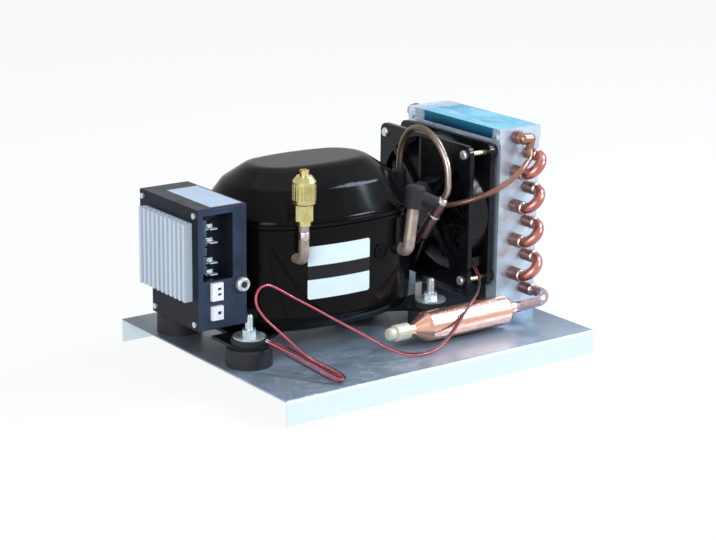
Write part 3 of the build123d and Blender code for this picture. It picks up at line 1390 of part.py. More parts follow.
def make_case_screws():
    """Four cover screws and the large fixing screw."""
    screws = []
    for y, z in case_screw_places():
        x0 = CONTROLLER_LEFT
        screw = rod_x(x0 - 0.5, x0 + CONTROLLER_COVER + 8, y, z, 1.5)
        head = rod_x(x0 - 1.6, x0, y, z, CASE_SCREW_RADIUS)
        screws.append(screw + head)
    x, z = fixing_screw_place()
    y0 = CONTROLLER_Y
    fixing = rod_y(x, y0 - 0.5, y0 + 10, z, 2.0)
    head = rod_y(x, y0 - 4.0, y0, z, FIXING_SCREW_RADIUS)
    head = fillet(head.edges().group_by(Axis.Y)[0], 1.2)
    head -= box(x - 0.6, x + 0.6, y0 - 5, y0 - 3.0, z - 8, z + 8)
    screws.append(fixing + head)
    return group(screws)


def make_board():
    """Circuit board stood up in the case, behind the recess."""
    y0 = CONTROLLER_Y + RECESS_DEPTH + CONTROLLER_WALL + SEAT
    x0 = CONTROLLER_LEFT + CONTROLLER_COVER + 1
    x1 = CONTROLLER_RIGHT - CONTROLLER_WALL - 1
    board = box(x0, x1, y0, y0 + 1.6, CONTROLLER_Z + 15, CONTROLLER_TOP - 15)
    for step in range(3):
        z = CONTROLLER_Z + 28 + 18 * step
        board += box(x0 + 8, x0 + 22, y0 + 1.5, y0 + 11, z, z + 11)
    return board


def terminal_column():
    """X place of the column of terminals and connectors."""
    return CONTROLLER_LEFT + 15.0


def make_terminals():
    """Four spade terminals on the recess floor."""
    x = terminal_column()
    y = CONTROLLER_Y + RECESS_DEPTH
    blades = []
    for lift in (42.0, 51.0, 66.5, 77.0):
        z = CONTROLLER_Z + lift
        foot = box(x - SPADE_WIDTH / 2, x + SPADE_WIDTH / 2, y - 1.2, y, z - 2.2, z + 2.2)
        blade = box(
            x - SPADE_WIDTH / 2, x + SPADE_WIDTH / 2,
            y - 8.5, y - 1, z - SPADE_THICKNESS / 2, z + SPADE_THICKNESS / 2,
        )
        blades.append(foot + blade)
    return group(blades)


def make_connectors():
    """Two white pin headers on the lower front, open to the front."""
    x = terminal_column()
    headers = []
    for low, high in ((23.0, 36.5), (8.0, 18.5)):
        y0 = CONTROLLER_Y - 3.0
        z0 = CONTROLLER_Z + low
        z1 = CONTROLLER_Z + high
        header = box(x - 4.8, x + 4.8, y0, CONTROLLER_Y, z0, z1)
        header -= box(x - 3.6, x + 3.6, y0 - 1, y0 + 2.2, z0 + 1.4, z1 - 1.4)
        headers.append(header)
    return group(headers)


def make_controller_label():
    """Blank label on the controller's top."""
    x0 = CONTROLLER_LEFT + 13.0
    y0 = CONTROLLER_Y + 4.0
    z0 = CONTROLLER_TOP
    return box(x0, CONTROLLER_RIGHT - 2.0, y0, y0 + 62.0, z0, z0 + LABEL_THICKNESS)


# ---------------------------------------------------------------- assembly
def at_feet(make):
    """One solid at each of the four feet."""
    return group([make(x, y) for x, y in FEET])


def at_fan_holes(make):
    """One solid at each of the fan's four holes."""
    return group([make(y, z) for y, z in FAN_HOLES])


def build():
    """Every node of the unit by name."""
    return {
        "base_tray": make_tray(),
        "foot_brackets": make_brackets(),
        "foot_grommets": at_feet(make_grommet),
        "foot_sleeves": at_feet(make_foot_sleeve),
        "foot_bolts": at_feet(make_foot_bolt),
        "foot_washers": at_feet(make_foot_washer),
        "foot_nuts": at_feet(make_foot_nut),
        "shell_lower": make_shell_lower(),
        "shell_upper": make_shell_upper(),
        "hermetic_terminal": make_terminal(),
        "compressor_label": make_label(),
        "suspension_springs": group([make_spring(x, y) for x, y in spring_places()]),
        "stator_core": make_stator(),
        "stator_windings": make_windings(),
        "motor_rotor": make_motor_rotor(),
        "crankshaft": make_crankshaft(),
        "cylinder_block": make_cylinder_block(),
        "piston": make_piston(),
        "connecting_rod": make_connecting_rod(),
        "cylinder_head": make_cylinder_head(),
        "suction_tube": tube(suction_points(), SUCTION_RADIUS, SUCTION_WALL),
        "suction_cap": make_suction_cap(),
        "process_tube": tube(process_points(), PROCESS_RADIUS, PROCESS_WALL),
        "service_valve_body": make_valve_body(),
        "service_valve_pin": make_valve_pin(),
        "service_valve_cap": make_valve_cap(),
        "discharge_line": tube(discharge_points(), DISCHARGE_RADIUS, THIN_WALL),
        "discharge_sleeve": make_discharge_sleeve(),
        "high_side_stub": make_high_side_stub(),
        "condenser_inlet_line": make_inlet_line(),
        "condenser_plate_front": make_end_plate(True),
        "condenser_plate_back": make_end_plate(False),
        "condenser_tubes": make_tubes(),
        "condenser_bends": make_bends(),
        "condenser_fins": make_fins(),
        "condenser_cover": make_cover(),
        "cover_film": make_film(),
        "condenser_screws": make_screws(),
        "liquid_line": tube(liquid_points(), LIQUID_RADIUS, LIQUID_WALL),
        "filter_drier_shell": make_drier_shell(),
        "drier_core": make_drier_core(),
        "drier_plug": make_drier_plug(),
        "fan_frame": make_fan_frame(),
        "fan_rotor": make_fan_rotor(),
        "fan_shaft": make_fan_shaft(),
        "fan_bearing": make_fan_bearing(),
        "fan_coil": make_fan_coil(),
        "fan_bolts": at_fan_holes(make_fan_bolt),
        "fan_spacers": at_fan_holes(make_fan_spacer),
        "fan_nuts": at_fan_holes(make_fan_nut),
        "fan_lead": make_lead(),
        "fan_lead_hank": make_hank(),
        "controller_case": make_case(),
        "controller_cover": make_cover_plate(),
        "controller_heat_sink": make_heat_sink(),
        "controller_screws": make_case_screws(),
        "controller_board": make_board(),
        "controller_terminals": make_terminals(),
        "controller_connectors": make_connectors(),
        "controller_label": make_controller_label(),
    }


def main():
    """Write one STEP file for each node."""
    print("lead bends", [round(radius, 1) for radius in arc_radii(CORD_POINTS)])
    os.makedirs("parts", exist_ok=True)
    for name, shape in build().items():
        export_step(shape, f"parts/{name}.step")


main()
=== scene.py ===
"""Dresses the condensing unit: finishes, fasteners, fan lead, solder, floor, light and camera."""
import logging
import math
from dataclasses import dataclass, field
from enum import Enum
from typing import Iterable, Optional, Sequence, Union

import bpy
from mathutils import Matrix, Vector


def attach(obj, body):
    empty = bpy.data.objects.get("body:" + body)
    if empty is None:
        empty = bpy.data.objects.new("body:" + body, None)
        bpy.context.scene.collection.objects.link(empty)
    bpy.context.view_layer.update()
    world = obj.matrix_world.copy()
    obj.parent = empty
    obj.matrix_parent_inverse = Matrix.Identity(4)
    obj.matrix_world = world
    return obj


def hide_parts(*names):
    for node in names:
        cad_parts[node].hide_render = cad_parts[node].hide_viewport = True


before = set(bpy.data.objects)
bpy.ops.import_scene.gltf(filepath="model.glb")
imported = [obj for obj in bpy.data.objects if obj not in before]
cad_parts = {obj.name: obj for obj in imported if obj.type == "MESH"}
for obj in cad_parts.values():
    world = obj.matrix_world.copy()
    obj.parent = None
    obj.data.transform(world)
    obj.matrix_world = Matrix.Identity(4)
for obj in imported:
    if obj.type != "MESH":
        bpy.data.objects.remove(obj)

Color = tuple[float, float, float]
Point = tuple[float, float, float]
Span = tuple[float, float]
Socket = bpy.types.NodeSocket
Piece = bpy.types.Object
Value = Union[Socket, float]
Shade = Union[Socket, Color]
MM = 0.001
FORWARD = Vector((0, -1, 0))
UP = Vector((0, 0, 1))
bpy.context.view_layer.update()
log = logging.getLogger("condensing_unit")


# ---------------------------------------------------------------- node trees
class Graph:
    """Builds the node tree of one material."""

    def __init__(self, name: str) -> None:
        """Start a material with only its shader.

        Args:
            name: The material's name.
        """
        self.material = bpy.data.materials.new(name)
        self.material.use_nodes = True
        self.tree = self.material.node_tree
        self.shader = self.tree.nodes["Principled BSDF"]
        self.place = self.tree.nodes.new("ShaderNodeTexCoord").outputs["Object"]

    def node(self, kind: str, inputs: Optional[dict] = None, **settings: object) -> bpy.types.Node:
        """Add a node.

        Args:
            kind: The node's type name.
            inputs: Values or sockets for its inputs.
            **settings: Properties of the node.

        Returns:
            The new node.
        """
        made = self.tree.nodes.new(kind)
        for key, value in settings.items():
            setattr(made, key, value)
        for key, value in (inputs or {}).items():
            if isinstance(value, Socket):
                self.tree.links.new(value, made.inputs[key])
            else:
                made.inputs[key].default_value = value
        return made

    def set(self, **values: object) -> None:
        """Set or link sockets of the shader.

        Args:
            **values: A value or socket for each, by its name with underscores for spaces.
        """
        for key, value in values.items():
            socket = self.shader.inputs[key.replace("_", " ")]
            if isinstance(value, Socket):
                self.tree.links.new(value, socket)
            elif isinstance(value, tuple) and len(value) == 3:
                socket.default_value = (*value, 1.0)
            else:
                socket.default_value = value

    def spot(self, scale: Point = (1, 1, 1), shift: Point = (0, 0, 0)) -> Socket:
        """Object coordinates, scaled and shifted."""
        inputs = {"Vector": self.place, "Scale": scale, "Location": shift}
        return self.node("ShaderNodeMapping", inputs).outputs[0]

    def noise(self, scale: float, detail: float = 3.0, vector: Optional[Socket] = None,
              distortion: float = 0.0) -> Socket:
        """Noise value between 0 and 1."""
        inputs = {"Scale": scale, "Detail": detail, "Distortion": distortion, "Vector": vector or self.place}
        return self.node("ShaderNodeTexNoise", inputs).outputs[0]

    def cells(self, scale: float, vector: Socket) -> Socket:
        """Random value of each cell of a cell pattern."""
        cell = self.node("ShaderNodeTexVoronoi", {"Scale": scale, "Vector": vector})
        return self.node("ShaderNodeSeparateColor", {"Color": cell.outputs["Color"]}).outputs[0]

    def ramp(self, value: Socket, low: float, high: float) -> Socket:
        """Stretch a value so that low becomes 0 and high becomes 1, held at both ends."""
        inputs = {"Value": value, "From Min": low, "From Max": high}
        return self.node("ShaderNodeMapRange", inputs).outputs[0]

    def math(self, kind: str, first: Value, second: Value) -> Socket:
        """A sum, product or other step on two values."""
        return self.node("ShaderNodeMath", {0: first, 1: second}, operation=kind).outputs[0]

    def mix(self, factor: Value, first: Shade, second: Shade) -> Socket:
        """Blend two colours.

        Args:
            factor: Share of the second colour.
            first: The colour at 0.
            second: The colour at 1.

        Returns:
            The blend's socket.
        """
        made = self.node("ShaderNodeMix", data_type="RGBA")
        for index, value in ((0, factor), (6, first), (7, second)):
            if isinstance(value, Socket):
                self.tree.links.new(value, made.inputs[index])
            else:
                made.inputs[index].default_value = (*value, 1.0) if isinstance(value, tuple) else value
        return made.outputs[2]

    def axes(self) -> list[Socket]:
        """X, Y and Z of the object coordinates."""
        return list(self.node("ShaderNodeSeparateXYZ", {"Vector": self.place}).outputs)

    def band(self, value: Socket, low: float, high: float, soft: float) -> Socket:
        """1 between two values, falling to 0 over a soft edge.

        Args:
            value: What is measured.
            low: Lower end of the band.
            high: Upper end of the band.
            soft: Half the width of each edge.

        Returns:
            The band's socket.
        """
        rise = self.ramp(value, low - soft, low + soft)
        fall = self.ramp(value, high + soft, high - soft)
        return self.math("MULTIPLY", rise, fall)

    def bump(self, height: Socket, strength: float, distance: float = MM) -> None:
        """Rough the shading with a height pattern."""
        inputs = {"Height": height, "Strength": strength, "Distance": distance}
        self.set(Normal=self.node("ShaderNodeBump", inputs).outputs[0])


# ---------------------------------------------------------------- finishes
SMUDGE_SCALE = 2.3
SMUDGE_SPAN = (0.3, 0.7)
LEAST_ROUGHNESS = 0.02
COAT_ROUGHNESS = 0.06


@dataclass(frozen=True)
class Finish:
    """A surface finish with blotches of a second shade, smudged gloss and a fine grain."""

    name: str
    color: Color
    shade: Color
    roughness: float
    metallic: float = 0.0
    blotch: float = 45.0
    blotch_share: float = 0.5
    smudge: float = 0.08
    grain: float = 1400.0
    bump: float = 0.05
    coat: float = 0.0
    specular: float = 0.5
    stretch: Point = (1, 1, 1)

    def paint(self, graph: Graph) -> Socket:
        """The colour pattern.

        Args:
            graph: The node tree to add to.

        Returns:
            The colour's socket.
        """
        blotches = graph.noise(self.blotch, 4, graph.spot(self.stretch))
        low = 0.5 - self.blotch_share / 2
        return graph.mix(graph.ramp(blotches, low, low + 0.5), self.color, self.shade)

    def build(self) -> bpy.types.Material:
        """Make the material.

        Returns:
            The material.
        """
        graph = Graph(self.name)
        rough = graph.noise(self.blotch * SMUDGE_SCALE, 3)
        spread = graph.math("MULTIPLY_ADD", graph.ramp(rough, *SMUDGE_SPAN), self.smudge * 2)
        spread.node.inputs[2].default_value = max(LEAST_ROUGHNESS, self.roughness - self.smudge)
        graph.set(Base_Color=self.paint(graph), Metallic=self.metallic, Roughness=spread)
        graph.set(Specular_IOR_Level=self.specular)
        if self.coat:
            graph.set(Coat_Weight=self.coat, Coat_Roughness=COAT_ROUGHNESS)
        if self.bump:
            graph.bump(graph.noise(self.grain, 2, graph.spot(self.stretch)), self.bump)
        return graph.material


@dataclass(frozen=True)
class GalvanisedFinish(Finish):
    """Zinc-coated sheet: large faint spangles under cloudy marks."""

    spangle: float = 170.0
    cloud: Color = (0.40, 0.48, 0.58)
    cloud_share: float = 0.4
    cloud_scale: float = 22.0
    cloud_span: Span = (0.45, 0.75)
    spangle_shift: Point = (0.3, 0.2, 0.1)

    def paint(self, graph: Graph) -> Socket:
        """Spangles, then clouds.

        Args:
            graph: The node tree to add to.

        Returns:
            The colour\'s socket.
        """
        spangles = graph.cells(self.spangle, graph.spot(shift=self.spangle_shift))
        sheet = graph.mix(graph.ramp(spangles, 0.0, 1.0), self.color, self.shade)
        clouds = graph.noise(self.cloud_scale, 5, distortion=0.6)
        amount = graph.math("MULTIPLY", graph.ramp(clouds, *self.cloud_span), self.cloud_share)
        return graph.mix(amount, sheet, self.cloud)


@dataclass(frozen=True)
class TrayFinish(GalvanisedFinish):
    """Galvanised tray: dried water marks, painted shade under the controller box, a darker right zone, painted
    light on flanges.
    """

    stain: Color = (0.25, 0.31, 0.40)
    chalk: Color = (0.66, 0.74, 0.80)
    # Painted shade under the controller box.
    shade_under_box: Color = (0.09, 0.11, 0.12)
    side: Color = (0.12, 0.165, 0.24)
    # Painted light on the flanges.
    edge: Color = (0.78, 0.90, 0.96)
    near_x: Span = (0.03, -0.05)
    near_y: Span = (-0.02, -0.07)
    far_x: Span = (-0.09, -0.14)
    far_y: Span = (-0.05, 0.01)
    right_x: Span = (0.02, 0.13)
    right_y: Span = (-0.115, -0.06)
    lit_flange_z: Span = (0.0192, 0.0182)
    mark_scale: float = 26.0
    mark_stretch: Point = (1, 1.6, 1)
    stain_span: Span = (0.47, 0.62)
    stain_share: float = 0.6
    ring_span: Span = (0.44, 0.455)
    ring_soft: float = 0.008
    ring_share: float = 0.8
    side_share: float = 0.75

    def paint(self, graph: Graph) -> Socket:
        """Spangles, clouds, water marks, painted shade, a darker right zone and painted light on the flanges.

        Args:
            graph: The node tree to add to.

        Returns:
            The colour\'s socket.
        """
        sheet = GalvanisedFinish.paint(self, graph)
        x, y, z = graph.axes()

        def zone(x_span: Span, y_span: Span) -> Socket:
            """1 where both places are past their spans."""
            return graph.math("MULTIPLY", graph.ramp(x, *x_span), graph.ramp(y, *y_span))

        def cover(below: Socket, place: Socket, share: float, color: Color) -> Socket:
            """A colour laid over another by place and share."""
            return graph.mix(graph.math("MULTIPLY", place, share), below, color)

        near = zone(self.near_x, self.near_y)
        marks = graph.noise(self.mark_scale, 7, graph.spot(self.mark_stretch), distortion=2.2)
        stains = graph.math("MULTIPLY", near, graph.ramp(marks, *self.stain_span))
        rings = graph.math("MULTIPLY", near, graph.band(marks, *self.ring_span, self.ring_soft))
        sheet = cover(sheet, stains, self.stain_share, self.stain)
        sheet = cover(sheet, rings, self.ring_share, self.chalk)
        # Painted shade: the zinc under the controller box is drawn dark.
        sheet = cover(sheet, zone(self.far_x, self.far_y), self.side_share, self.shade_under_box)
        # A darker, bluer zone towards the front right.
        sheet = cover(sheet, zone(self.right_x, self.right_y), self.side_share, self.side)
        # Painted light: the flanges below the top are drawn pale, as if lit from the front.
        return graph.mix(graph.ramp(z, *self.lit_flange_z), sheet, self.edge)


@dataclass(frozen=True)
class BandedLabelFinish(Finish):
    """Blank white label with one plain dark band across it."""

    band_low: float = 0.0
    band_high: float = 0.0
    band_soft: float = 0.0002
    ink: Color = (0.012, 0.012, 0.015)

    def paint(self, graph: Graph) -> Socket:
        """White with the band.

        Args:
            graph: The node tree to add to.

        Returns:
            The colour\'s socket.
        """
        base = Finish.paint(self, graph)
        height = graph.axes()[2]
        return graph.mix(graph.band(height, self.band_low, self.band_high, self.band_soft), base, self.ink)


@dataclass(frozen=True)
class FilmFinish(Finish):
    """Thin blue protective film: wrinkled, with painted shade on the folded-down side, darkest at its foot,
    clear at both ends.
    """

    # Painted shade of the folded-down side, at its foot and at its top.
    lip_shade_low: Color = (0.004, 0.026, 0.065)
    lip_shade_high: Color = (0.02, 0.16, 0.27)
    clear: Color = (0.40, 0.50, 0.58)
    clear_from: float = 0.060
    clear_near: float = -0.037
    clear_step: Span = (0.003, 0.002)
    edge_wander: float = 0.012
    streak_span: Span = (0.5, 0.68)
    lip_x: float = 0.1072
    lip_step: float = 0.0006
    lip_low: float = 0.1685
    lip_high: float = 0.1760

    def paint(self, graph: Graph) -> Socket:
        """Film colour by place.

        Args:
            graph: The node tree to add to.

        Returns:
            The colour\'s socket.
        """
        base = Finish.paint(self, graph)
        x, y, z = graph.axes()
        streaks = graph.noise(120, 5, graph.spot((1, 0.3, 1)), distortion=0.8)
        pale = graph.mix(graph.ramp(streaks, *self.streak_span), base, self.shade)
        # Painted shade: the folded-down side, turned from the lamps, is drawn dark, darkening downwards.
        side = graph.mix(graph.ramp(z, self.lip_high, self.lip_low), self.lip_shade_high, self.lip_shade_low)
        with_lip_shade = graph.mix(graph.ramp(x, self.lip_x + self.lip_step, self.lip_x), pale, side)
        edge = graph.math("ADD", y, graph.math("MULTIPLY", graph.noise(60, 3), self.edge_wander))
        far, near = self.clear_step
        ends = graph.math("MAXIMUM", graph.ramp(edge, self.clear_from, self.clear_from + far),
                          graph.ramp(edge, self.clear_near, self.clear_near - near))
        return graph.mix(ends, with_lip_shade, self.clear)


@dataclass(frozen=True)
class HeatedCopperFinish(Finish):
    """Copper tube, purple and dark where a torch heated its joints at both ends along Y."""

    heat: Color = (0.13, 0.08, 0.11)
    near_span: Span = (-0.062, -0.05)
    far_span: Span = (0.095, 0.086)

    def paint(self, graph: Graph) -> Socket:
        """Copper that darkens towards its joints on both sides.

        Args:
            graph: The node tree to add to.

        Returns:
            The colour\'s socket.
        """
        base = Finish.paint(self, graph)
        y = graph.axes()[1]
        near = graph.ramp(y, *self.near_span)
        far = graph.ramp(y, *self.far_span)
        uneven = graph.ramp(graph.noise(160, 3), 0.2, 0.7)
        amount = graph.math("MULTIPLY", graph.math("MULTIPLY", near, far), uneven)
        return graph.mix(amount, base, self.heat)


@dataclass(frozen=True)
class HousingFinish(Finish):
    """Dark coat with a painted slate-blue reflection, in clouds, on the front side."""

    # Painted reflection: the slate blue mirrored on the glossy front side.
    face_reflection: Color = (0.046, 0.066, 0.115)
    face_y: float = -0.0355
    face_step: float = 0.0003

    def paint(self, graph: Graph) -> Socket:
        """Dark coat and the painted slate-blue reflection on the front side.

        Args:
            graph: The node tree to add to.

        Returns:
            The colour\'s socket.
        """
        base = Finish.paint(self, graph)
        y = graph.axes()[1]
        # Painted reflection: the front side is tinted slate blue in clouds.
        front = graph.ramp(y, self.face_y, self.face_y - self.face_step)
        reflection_clouds = graph.ramp(graph.noise(28, 3), 0.1, 0.75)
        return graph.mix(graph.math("MULTIPLY", front, reflection_clouds), base, self.face_reflection)


@dataclass(frozen=True)
class TwoToneFinish(Finish):
    """Metal whose tint changes from one place to another along one axis."""

    other: Color = (0.5, 0.4, 0.4)
    other_from: float = 0.0
    other_to: float = 0.01
    wander: float = 0.006
    axis: int = 0

    def paint(self, graph: Graph) -> Socket:
        """Two tints blended along the axis.

        Args:
            graph: The node tree to add to.

        Returns:
            The colour\'s socket.
        """
        base = Finish.paint(self, graph)
        place = graph.axes()[self.axis]
        wander = graph.math("ADD", place, graph.math("MULTIPLY", graph.noise(90, 3), self.wander))
        return graph.mix(graph.ramp(wander, self.other_from, self.other_to), base, self.other)


class Stock(Enum):
    """The finishes of the unit."""

    ZINC_SHEET = GalvanisedFinish(
        "zinc_sheet", (0.66, 0.78, 0.88), (0.56, 0.70, 0.83), 0.36, 0.6, smudge=0.10, cloud=(0.42, 0.50, 0.66),
    )
    TRAY = TrayFinish(
        "tray_zinc", (0.36, 0.43, 0.51), (0.29, 0.37, 0.46), 0.36, 0.5, smudge=0.06, bump=0.0,
        spangle=60.0, cloud=(0.25, 0.33, 0.45),
    )
    ZINC_PLATE = Finish("zinc_plate", (0.66, 0.74, 0.78), (0.50, 0.58, 0.62), 0.34, 0.75, blotch=300)
    YELLOW_ZINC = TwoToneFinish(
        "yellow_zinc", (0.70, 0.76, 0.78), (0.50, 0.54, 0.56), 0.32, 0.85, blotch=300,
        other=(0.74, 0.70, 0.40), other_from=0.0768, other_to=0.0772, wander=0.0,
    )
    ENAMEL = Finish(
        "black_enamel", (0.003, 0.003, 0.004), (0.006, 0.005, 0.005), 0.12,
        smudge=0.03, bump=0.01, specular=0.09,
    )
    PLATE_BLACK = TwoToneFinish(
        "bracket_paint", (0.006, 0.007, 0.009), (0.012, 0.012, 0.014), 0.3, specular=0.15,
        other=(0.66, 0.68, 0.70), other_from=0.0371, other_to=0.0374, wander=0.0, axis=2,
    )
    RUBBER = Finish(
        "black_rubber", (0.013, 0.014, 0.016), (0.024, 0.026, 0.028), 0.62, bump=0.15, specular=0.25,
    )
    FAN_PLASTIC = Finish(
        "fan_plastic", (0.0035, 0.0036, 0.005), (0.007, 0.007, 0.009), 0.22, bump=0.02, specular=0.22,
    )
    HOUSING = HousingFinish(
        "controller_coat_with_reflection", (0.007, 0.010, 0.016), (0.012, 0.016, 0.024), 0.26, bump=0.02, specular=0.08,
    )
    SINK = Finish(
        "sink_aluminium", (0.62, 0.70, 0.78), (0.54, 0.62, 0.71), 0.5, 0.15, stretch=(1, 1, 0.05),
        specular=0.3,
    )
    FIN = Finish("fin_aluminium", (0.70, 0.73, 0.76), (0.56, 0.60, 0.63), 0.3, 1.0)
    COPPER = HeatedCopperFinish(
        "bend_copper", (0.62, 0.24, 0.20), (0.42, 0.15, 0.135), 0.27, 0.85, blotch=120,
    )
    LINE_COPPER = TwoToneFinish(
        "line_copper", (0.22, 0.155, 0.105), (0.12, 0.085, 0.06), 0.30, 0.8, blotch=70,
        other=(0.42, 0.34, 0.31), other_from=-0.012, other_to=-0.030, axis=1,
    )
    INLET_COPPER = TwoToneFinish(
        "inlet_copper", (0.105, 0.06, 0.045), (0.16, 0.09, 0.065), 0.28, 0.85, blotch=60,
        other=(0.36, 0.19, 0.14), other_from=0.086, other_to=0.098,
    )
    BRIGHT_COPPER = Finish(
        "bright_copper", (0.90, 0.55, 0.43), (0.74, 0.38, 0.28), 0.27, 0.9, blotch=40, smudge=0.05,
        stretch=(0.3, 1, 1), bump=0.0,
    )
    STAINED_COPPER = Finish(
        "stained_copper", (0.50, 0.42, 0.36), (0.26, 0.21, 0.18), 0.40, 0.55, blotch=150,
        blotch_share=0.6,
    )
    STUB_COPPER = Finish("stub_copper", (0.20, 0.13, 0.15), (0.34, 0.22, 0.22), 0.36, 0.85, blotch=140)
    LIQUID_COPPER = Finish("liquid_copper", (0.50, 0.43, 0.48), (0.46, 0.31, 0.31), 0.26, 0.85, blotch=120)
    SOLDER = Finish("silver_solder", (0.78, 0.72, 0.72), (0.52, 0.42, 0.42), 0.3, 1.0, blotch=500, bump=0.2)
    BRASS = Finish("valve_brass", (0.74, 0.68, 0.33), (0.48, 0.43, 0.17), 0.26, 0.95, blotch=160)
    WINDING = Finish(
        "winding_copper", (0.55, 0.22, 0.10), (0.40, 0.14, 0.06), 0.35, 0.8, stretch=(1, 1, 8),
        blotch=300,
    )
    BRONZE = Finish("sintered_bronze", (0.50, 0.36, 0.18), (0.38, 0.26, 0.12), 0.5, 0.9)
    LAMINATE = Finish(
        "laminations", (0.30, 0.30, 0.32), (0.18, 0.18, 0.20), 0.45, 0.9, stretch=(0.1, 0.1, 30),
    )
    CASTING = Finish("grey_iron", (0.16, 0.16, 0.17), (0.10, 0.10, 0.11), 0.6, 0.7, bump=0.3)
    GROUND = Finish("ground_steel", (0.62, 0.62, 0.64), (0.5, 0.5, 0.52), 0.18, 1.0)
    FILM = FilmFinish(
        "blue_film", (0.022, 0.27, 0.45), (0.24, 0.62, 0.74), 0.2, blotch=30, bump=0.25, grain=140,
        specular=0.08,
    )
    PLUG = Finish("soft_plug", (0.62, 0.58, 0.46), (0.50, 0.47, 0.38), 0.28, bump=0.02)
    TOP_LABEL = Finish(
        "controller_label", (0.44, 0.52, 0.63), (0.50, 0.58, 0.70), 0.45, bump=0.02, specular=0.2,
    )
    BAND_LABEL = BandedLabelFinish(
        "compressor_label", (0.74, 0.86, 0.86), (0.68, 0.80, 0.80), 0.4, bump=0.02, specular=0.2,
        band_low=0.0805, band_high=0.0915,
    )
    NYLON = Finish("white_nylon", (0.86, 0.88, 0.90), (0.78, 0.81, 0.84), 0.4)
    DESICCANT = Finish("desiccant", (0.62, 0.56, 0.46), (0.50, 0.45, 0.36), 0.9, 0.0, bump=0.5)
    RED_WIRE = Finish("red_insulation", (0.45, 0.03, 0.06), (0.55, 0.07, 0.10), 0.28, coat=0.5)
    BLACK_WIRE = Finish("black_insulation", (0.02, 0.015, 0.02), (0.035, 0.02, 0.025), 0.38, 0.0, coat=0.2)
    TINNED = Finish("tinned_strand", (0.72, 0.70, 0.66), (0.55, 0.53, 0.5), 0.3, 1.0, blotch=900)
    BOARD = Finish("circuit_board", (0.02, 0.14, 0.06), (0.03, 0.20, 0.09), 0.4, 0.0)
    # Painted shade for the header floors and the screw socket, and the toothed washer's black.
    SHADE_AND_BLACK = Finish("painted_shade_and_black", (0.008, 0.009, 0.012), (0.014, 0.015, 0.018), 0.5)
    BAR = Finish("terminal_bar_plastic", (0.050, 0.070, 0.120), (0.030, 0.042, 0.080), 0.4)
    TUBE_COPPER = Finish("tube_copper", (0.33, 0.15, 0.12), (0.20, 0.10, 0.09), 0.32, 0.85, blotch=140)


class Paintbox:
    """Makes each finish once and gives it to pieces."""

    def __init__(self) -> None:
        """Start with no finishes made."""
        self.made: dict[Stock, bpy.types.Material] = {}

    def get(self, stock: Stock) -> bpy.types.Material:
        """The material of a finish, made on first use.

        Args:
            stock: The finish.

        Returns:
            Its material.
        """
        if stock not in self.made:
            self.made[stock] = stock.value.build()
        return self.made[stock]

    def dress(self, piece: Piece, stock: Stock) -> None:
        """Give a piece one finish all over."""
        piece.data.materials.clear()
        piece.data.materials.append(self.get(stock))


PAINT = Paintbox()


# ---------------------------------------------------------------- modelling steps
def deselect() -> None:
    """Leave nothing selected and no object in edit mode."""
    if bpy.context.object and bpy.context.object.mode != "OBJECT":
        bpy.ops.object.mode_set(mode="OBJECT")
    bpy.ops.object.select_all(action="DESELECT")


def activate(pieces: Sequence[Piece]) -> None:
    """Select these pieces alone.

    Args:
        pieces: What is selected, with the active one first.
    """
    deselect()
    for piece in pieces:
        piece.select_set(True)
    bpy.context.view_layer.objects.active = pieces[0]


def settle(piece: Piece) -> None:
    """Apply a piece's place, turn and size to its mesh."""
    activate([piece])
    bpy.ops.object.transform_apply(location=True, rotation=True, scale=True)


def join(pieces: Sequence[Piece], name: str) -> Piece:
    """Join pieces into one.

    Args:
        pieces: What is joined.
        name: The joined piece's name.

    Returns:
        The joined piece.
    """
    activate(pieces)
    if len(pieces) > 1:
        bpy.ops.object.join()
    joined = bpy.context.view_layer.objects.active
    joined.name = name
    joined.data.name = name
    return joined


def smooth(piece: Piece, angle: float = 40.0) -> None:
    """Shade smooth below an angle in degrees."""
    activate([piece])
    bpy.ops.object.shade_smooth_by_angle(angle=math.radians(angle))


def turned(name: str, profile: Sequence[Span], base: Vector, axis: Vector, sides: int = 24) -> Piece:
    """A turned piece, drawn up ring by ring from its first disc.

    Args:
        name: The piece's name.
        profile: Height along the axis and radius of each ring, in millimetres.
        base: Where height 0 lies, in metres.
        axis: Direction of the axis.
        sides: Corners of each ring.

    Returns:
        The piece, with its place in its mesh.
    """
    deselect()
    height, radius = profile[0]
    start = (0, 0, height * MM)
    bpy.ops.mesh.primitive_circle_add(vertices=sides, radius=radius * MM, fill_type="NGON", location=start)
    piece = bpy.context.object
    bpy.ops.object.transform_apply(location=True)
    bpy.ops.object.mode_set(mode="EDIT")
    bpy.ops.mesh.select_all(action="SELECT")
    for next_height, next_radius in profile[1:]:
        lift = {"value": (0, 0, (next_height - height) * MM)}
        bpy.ops.mesh.extrude_region_move(TRANSFORM_OT_translate=lift)
        share = next_radius / radius
        bpy.ops.transform.resize(value=(share, share, 1), center_override=(0, 0, next_height * MM))
        height, radius = next_height, next_radius
    bpy.ops.mesh.select_all(action="SELECT")
    bpy.ops.mesh.remove_doubles(threshold=1e-6)
    bpy.ops.mesh.normals_make_consistent(inside=False)
    bpy.ops.object.mode_set(mode="OBJECT")
    piece.matrix_world = Matrix.Translation(base) @ axis.to_track_quat("Z", "Y").to_matrix().to_4x4()
    settle(piece)
    piece.name = name
    return piece


def copies(piece: Piece, shifts: Iterable[Vector]) -> list[Piece]:
    """The piece and copies of it, each with its own mesh, moved by the shifts.

    Args:
        piece: The first one, which is moved by the first shift.
        shifts: How far each one moves.

    Returns:
        All of them.
    """
    made = []
    for index, shift in enumerate(shifts):
        one = piece
        if index:
            one = piece.copy()
            one.data = piece.data.copy()
            bpy.context.collection.objects.link(one)
        made.append((one, shift))
    for one, shift in made:
        one.data.transform(Matrix.Translation(shift))
    return [one for one, _ in made]


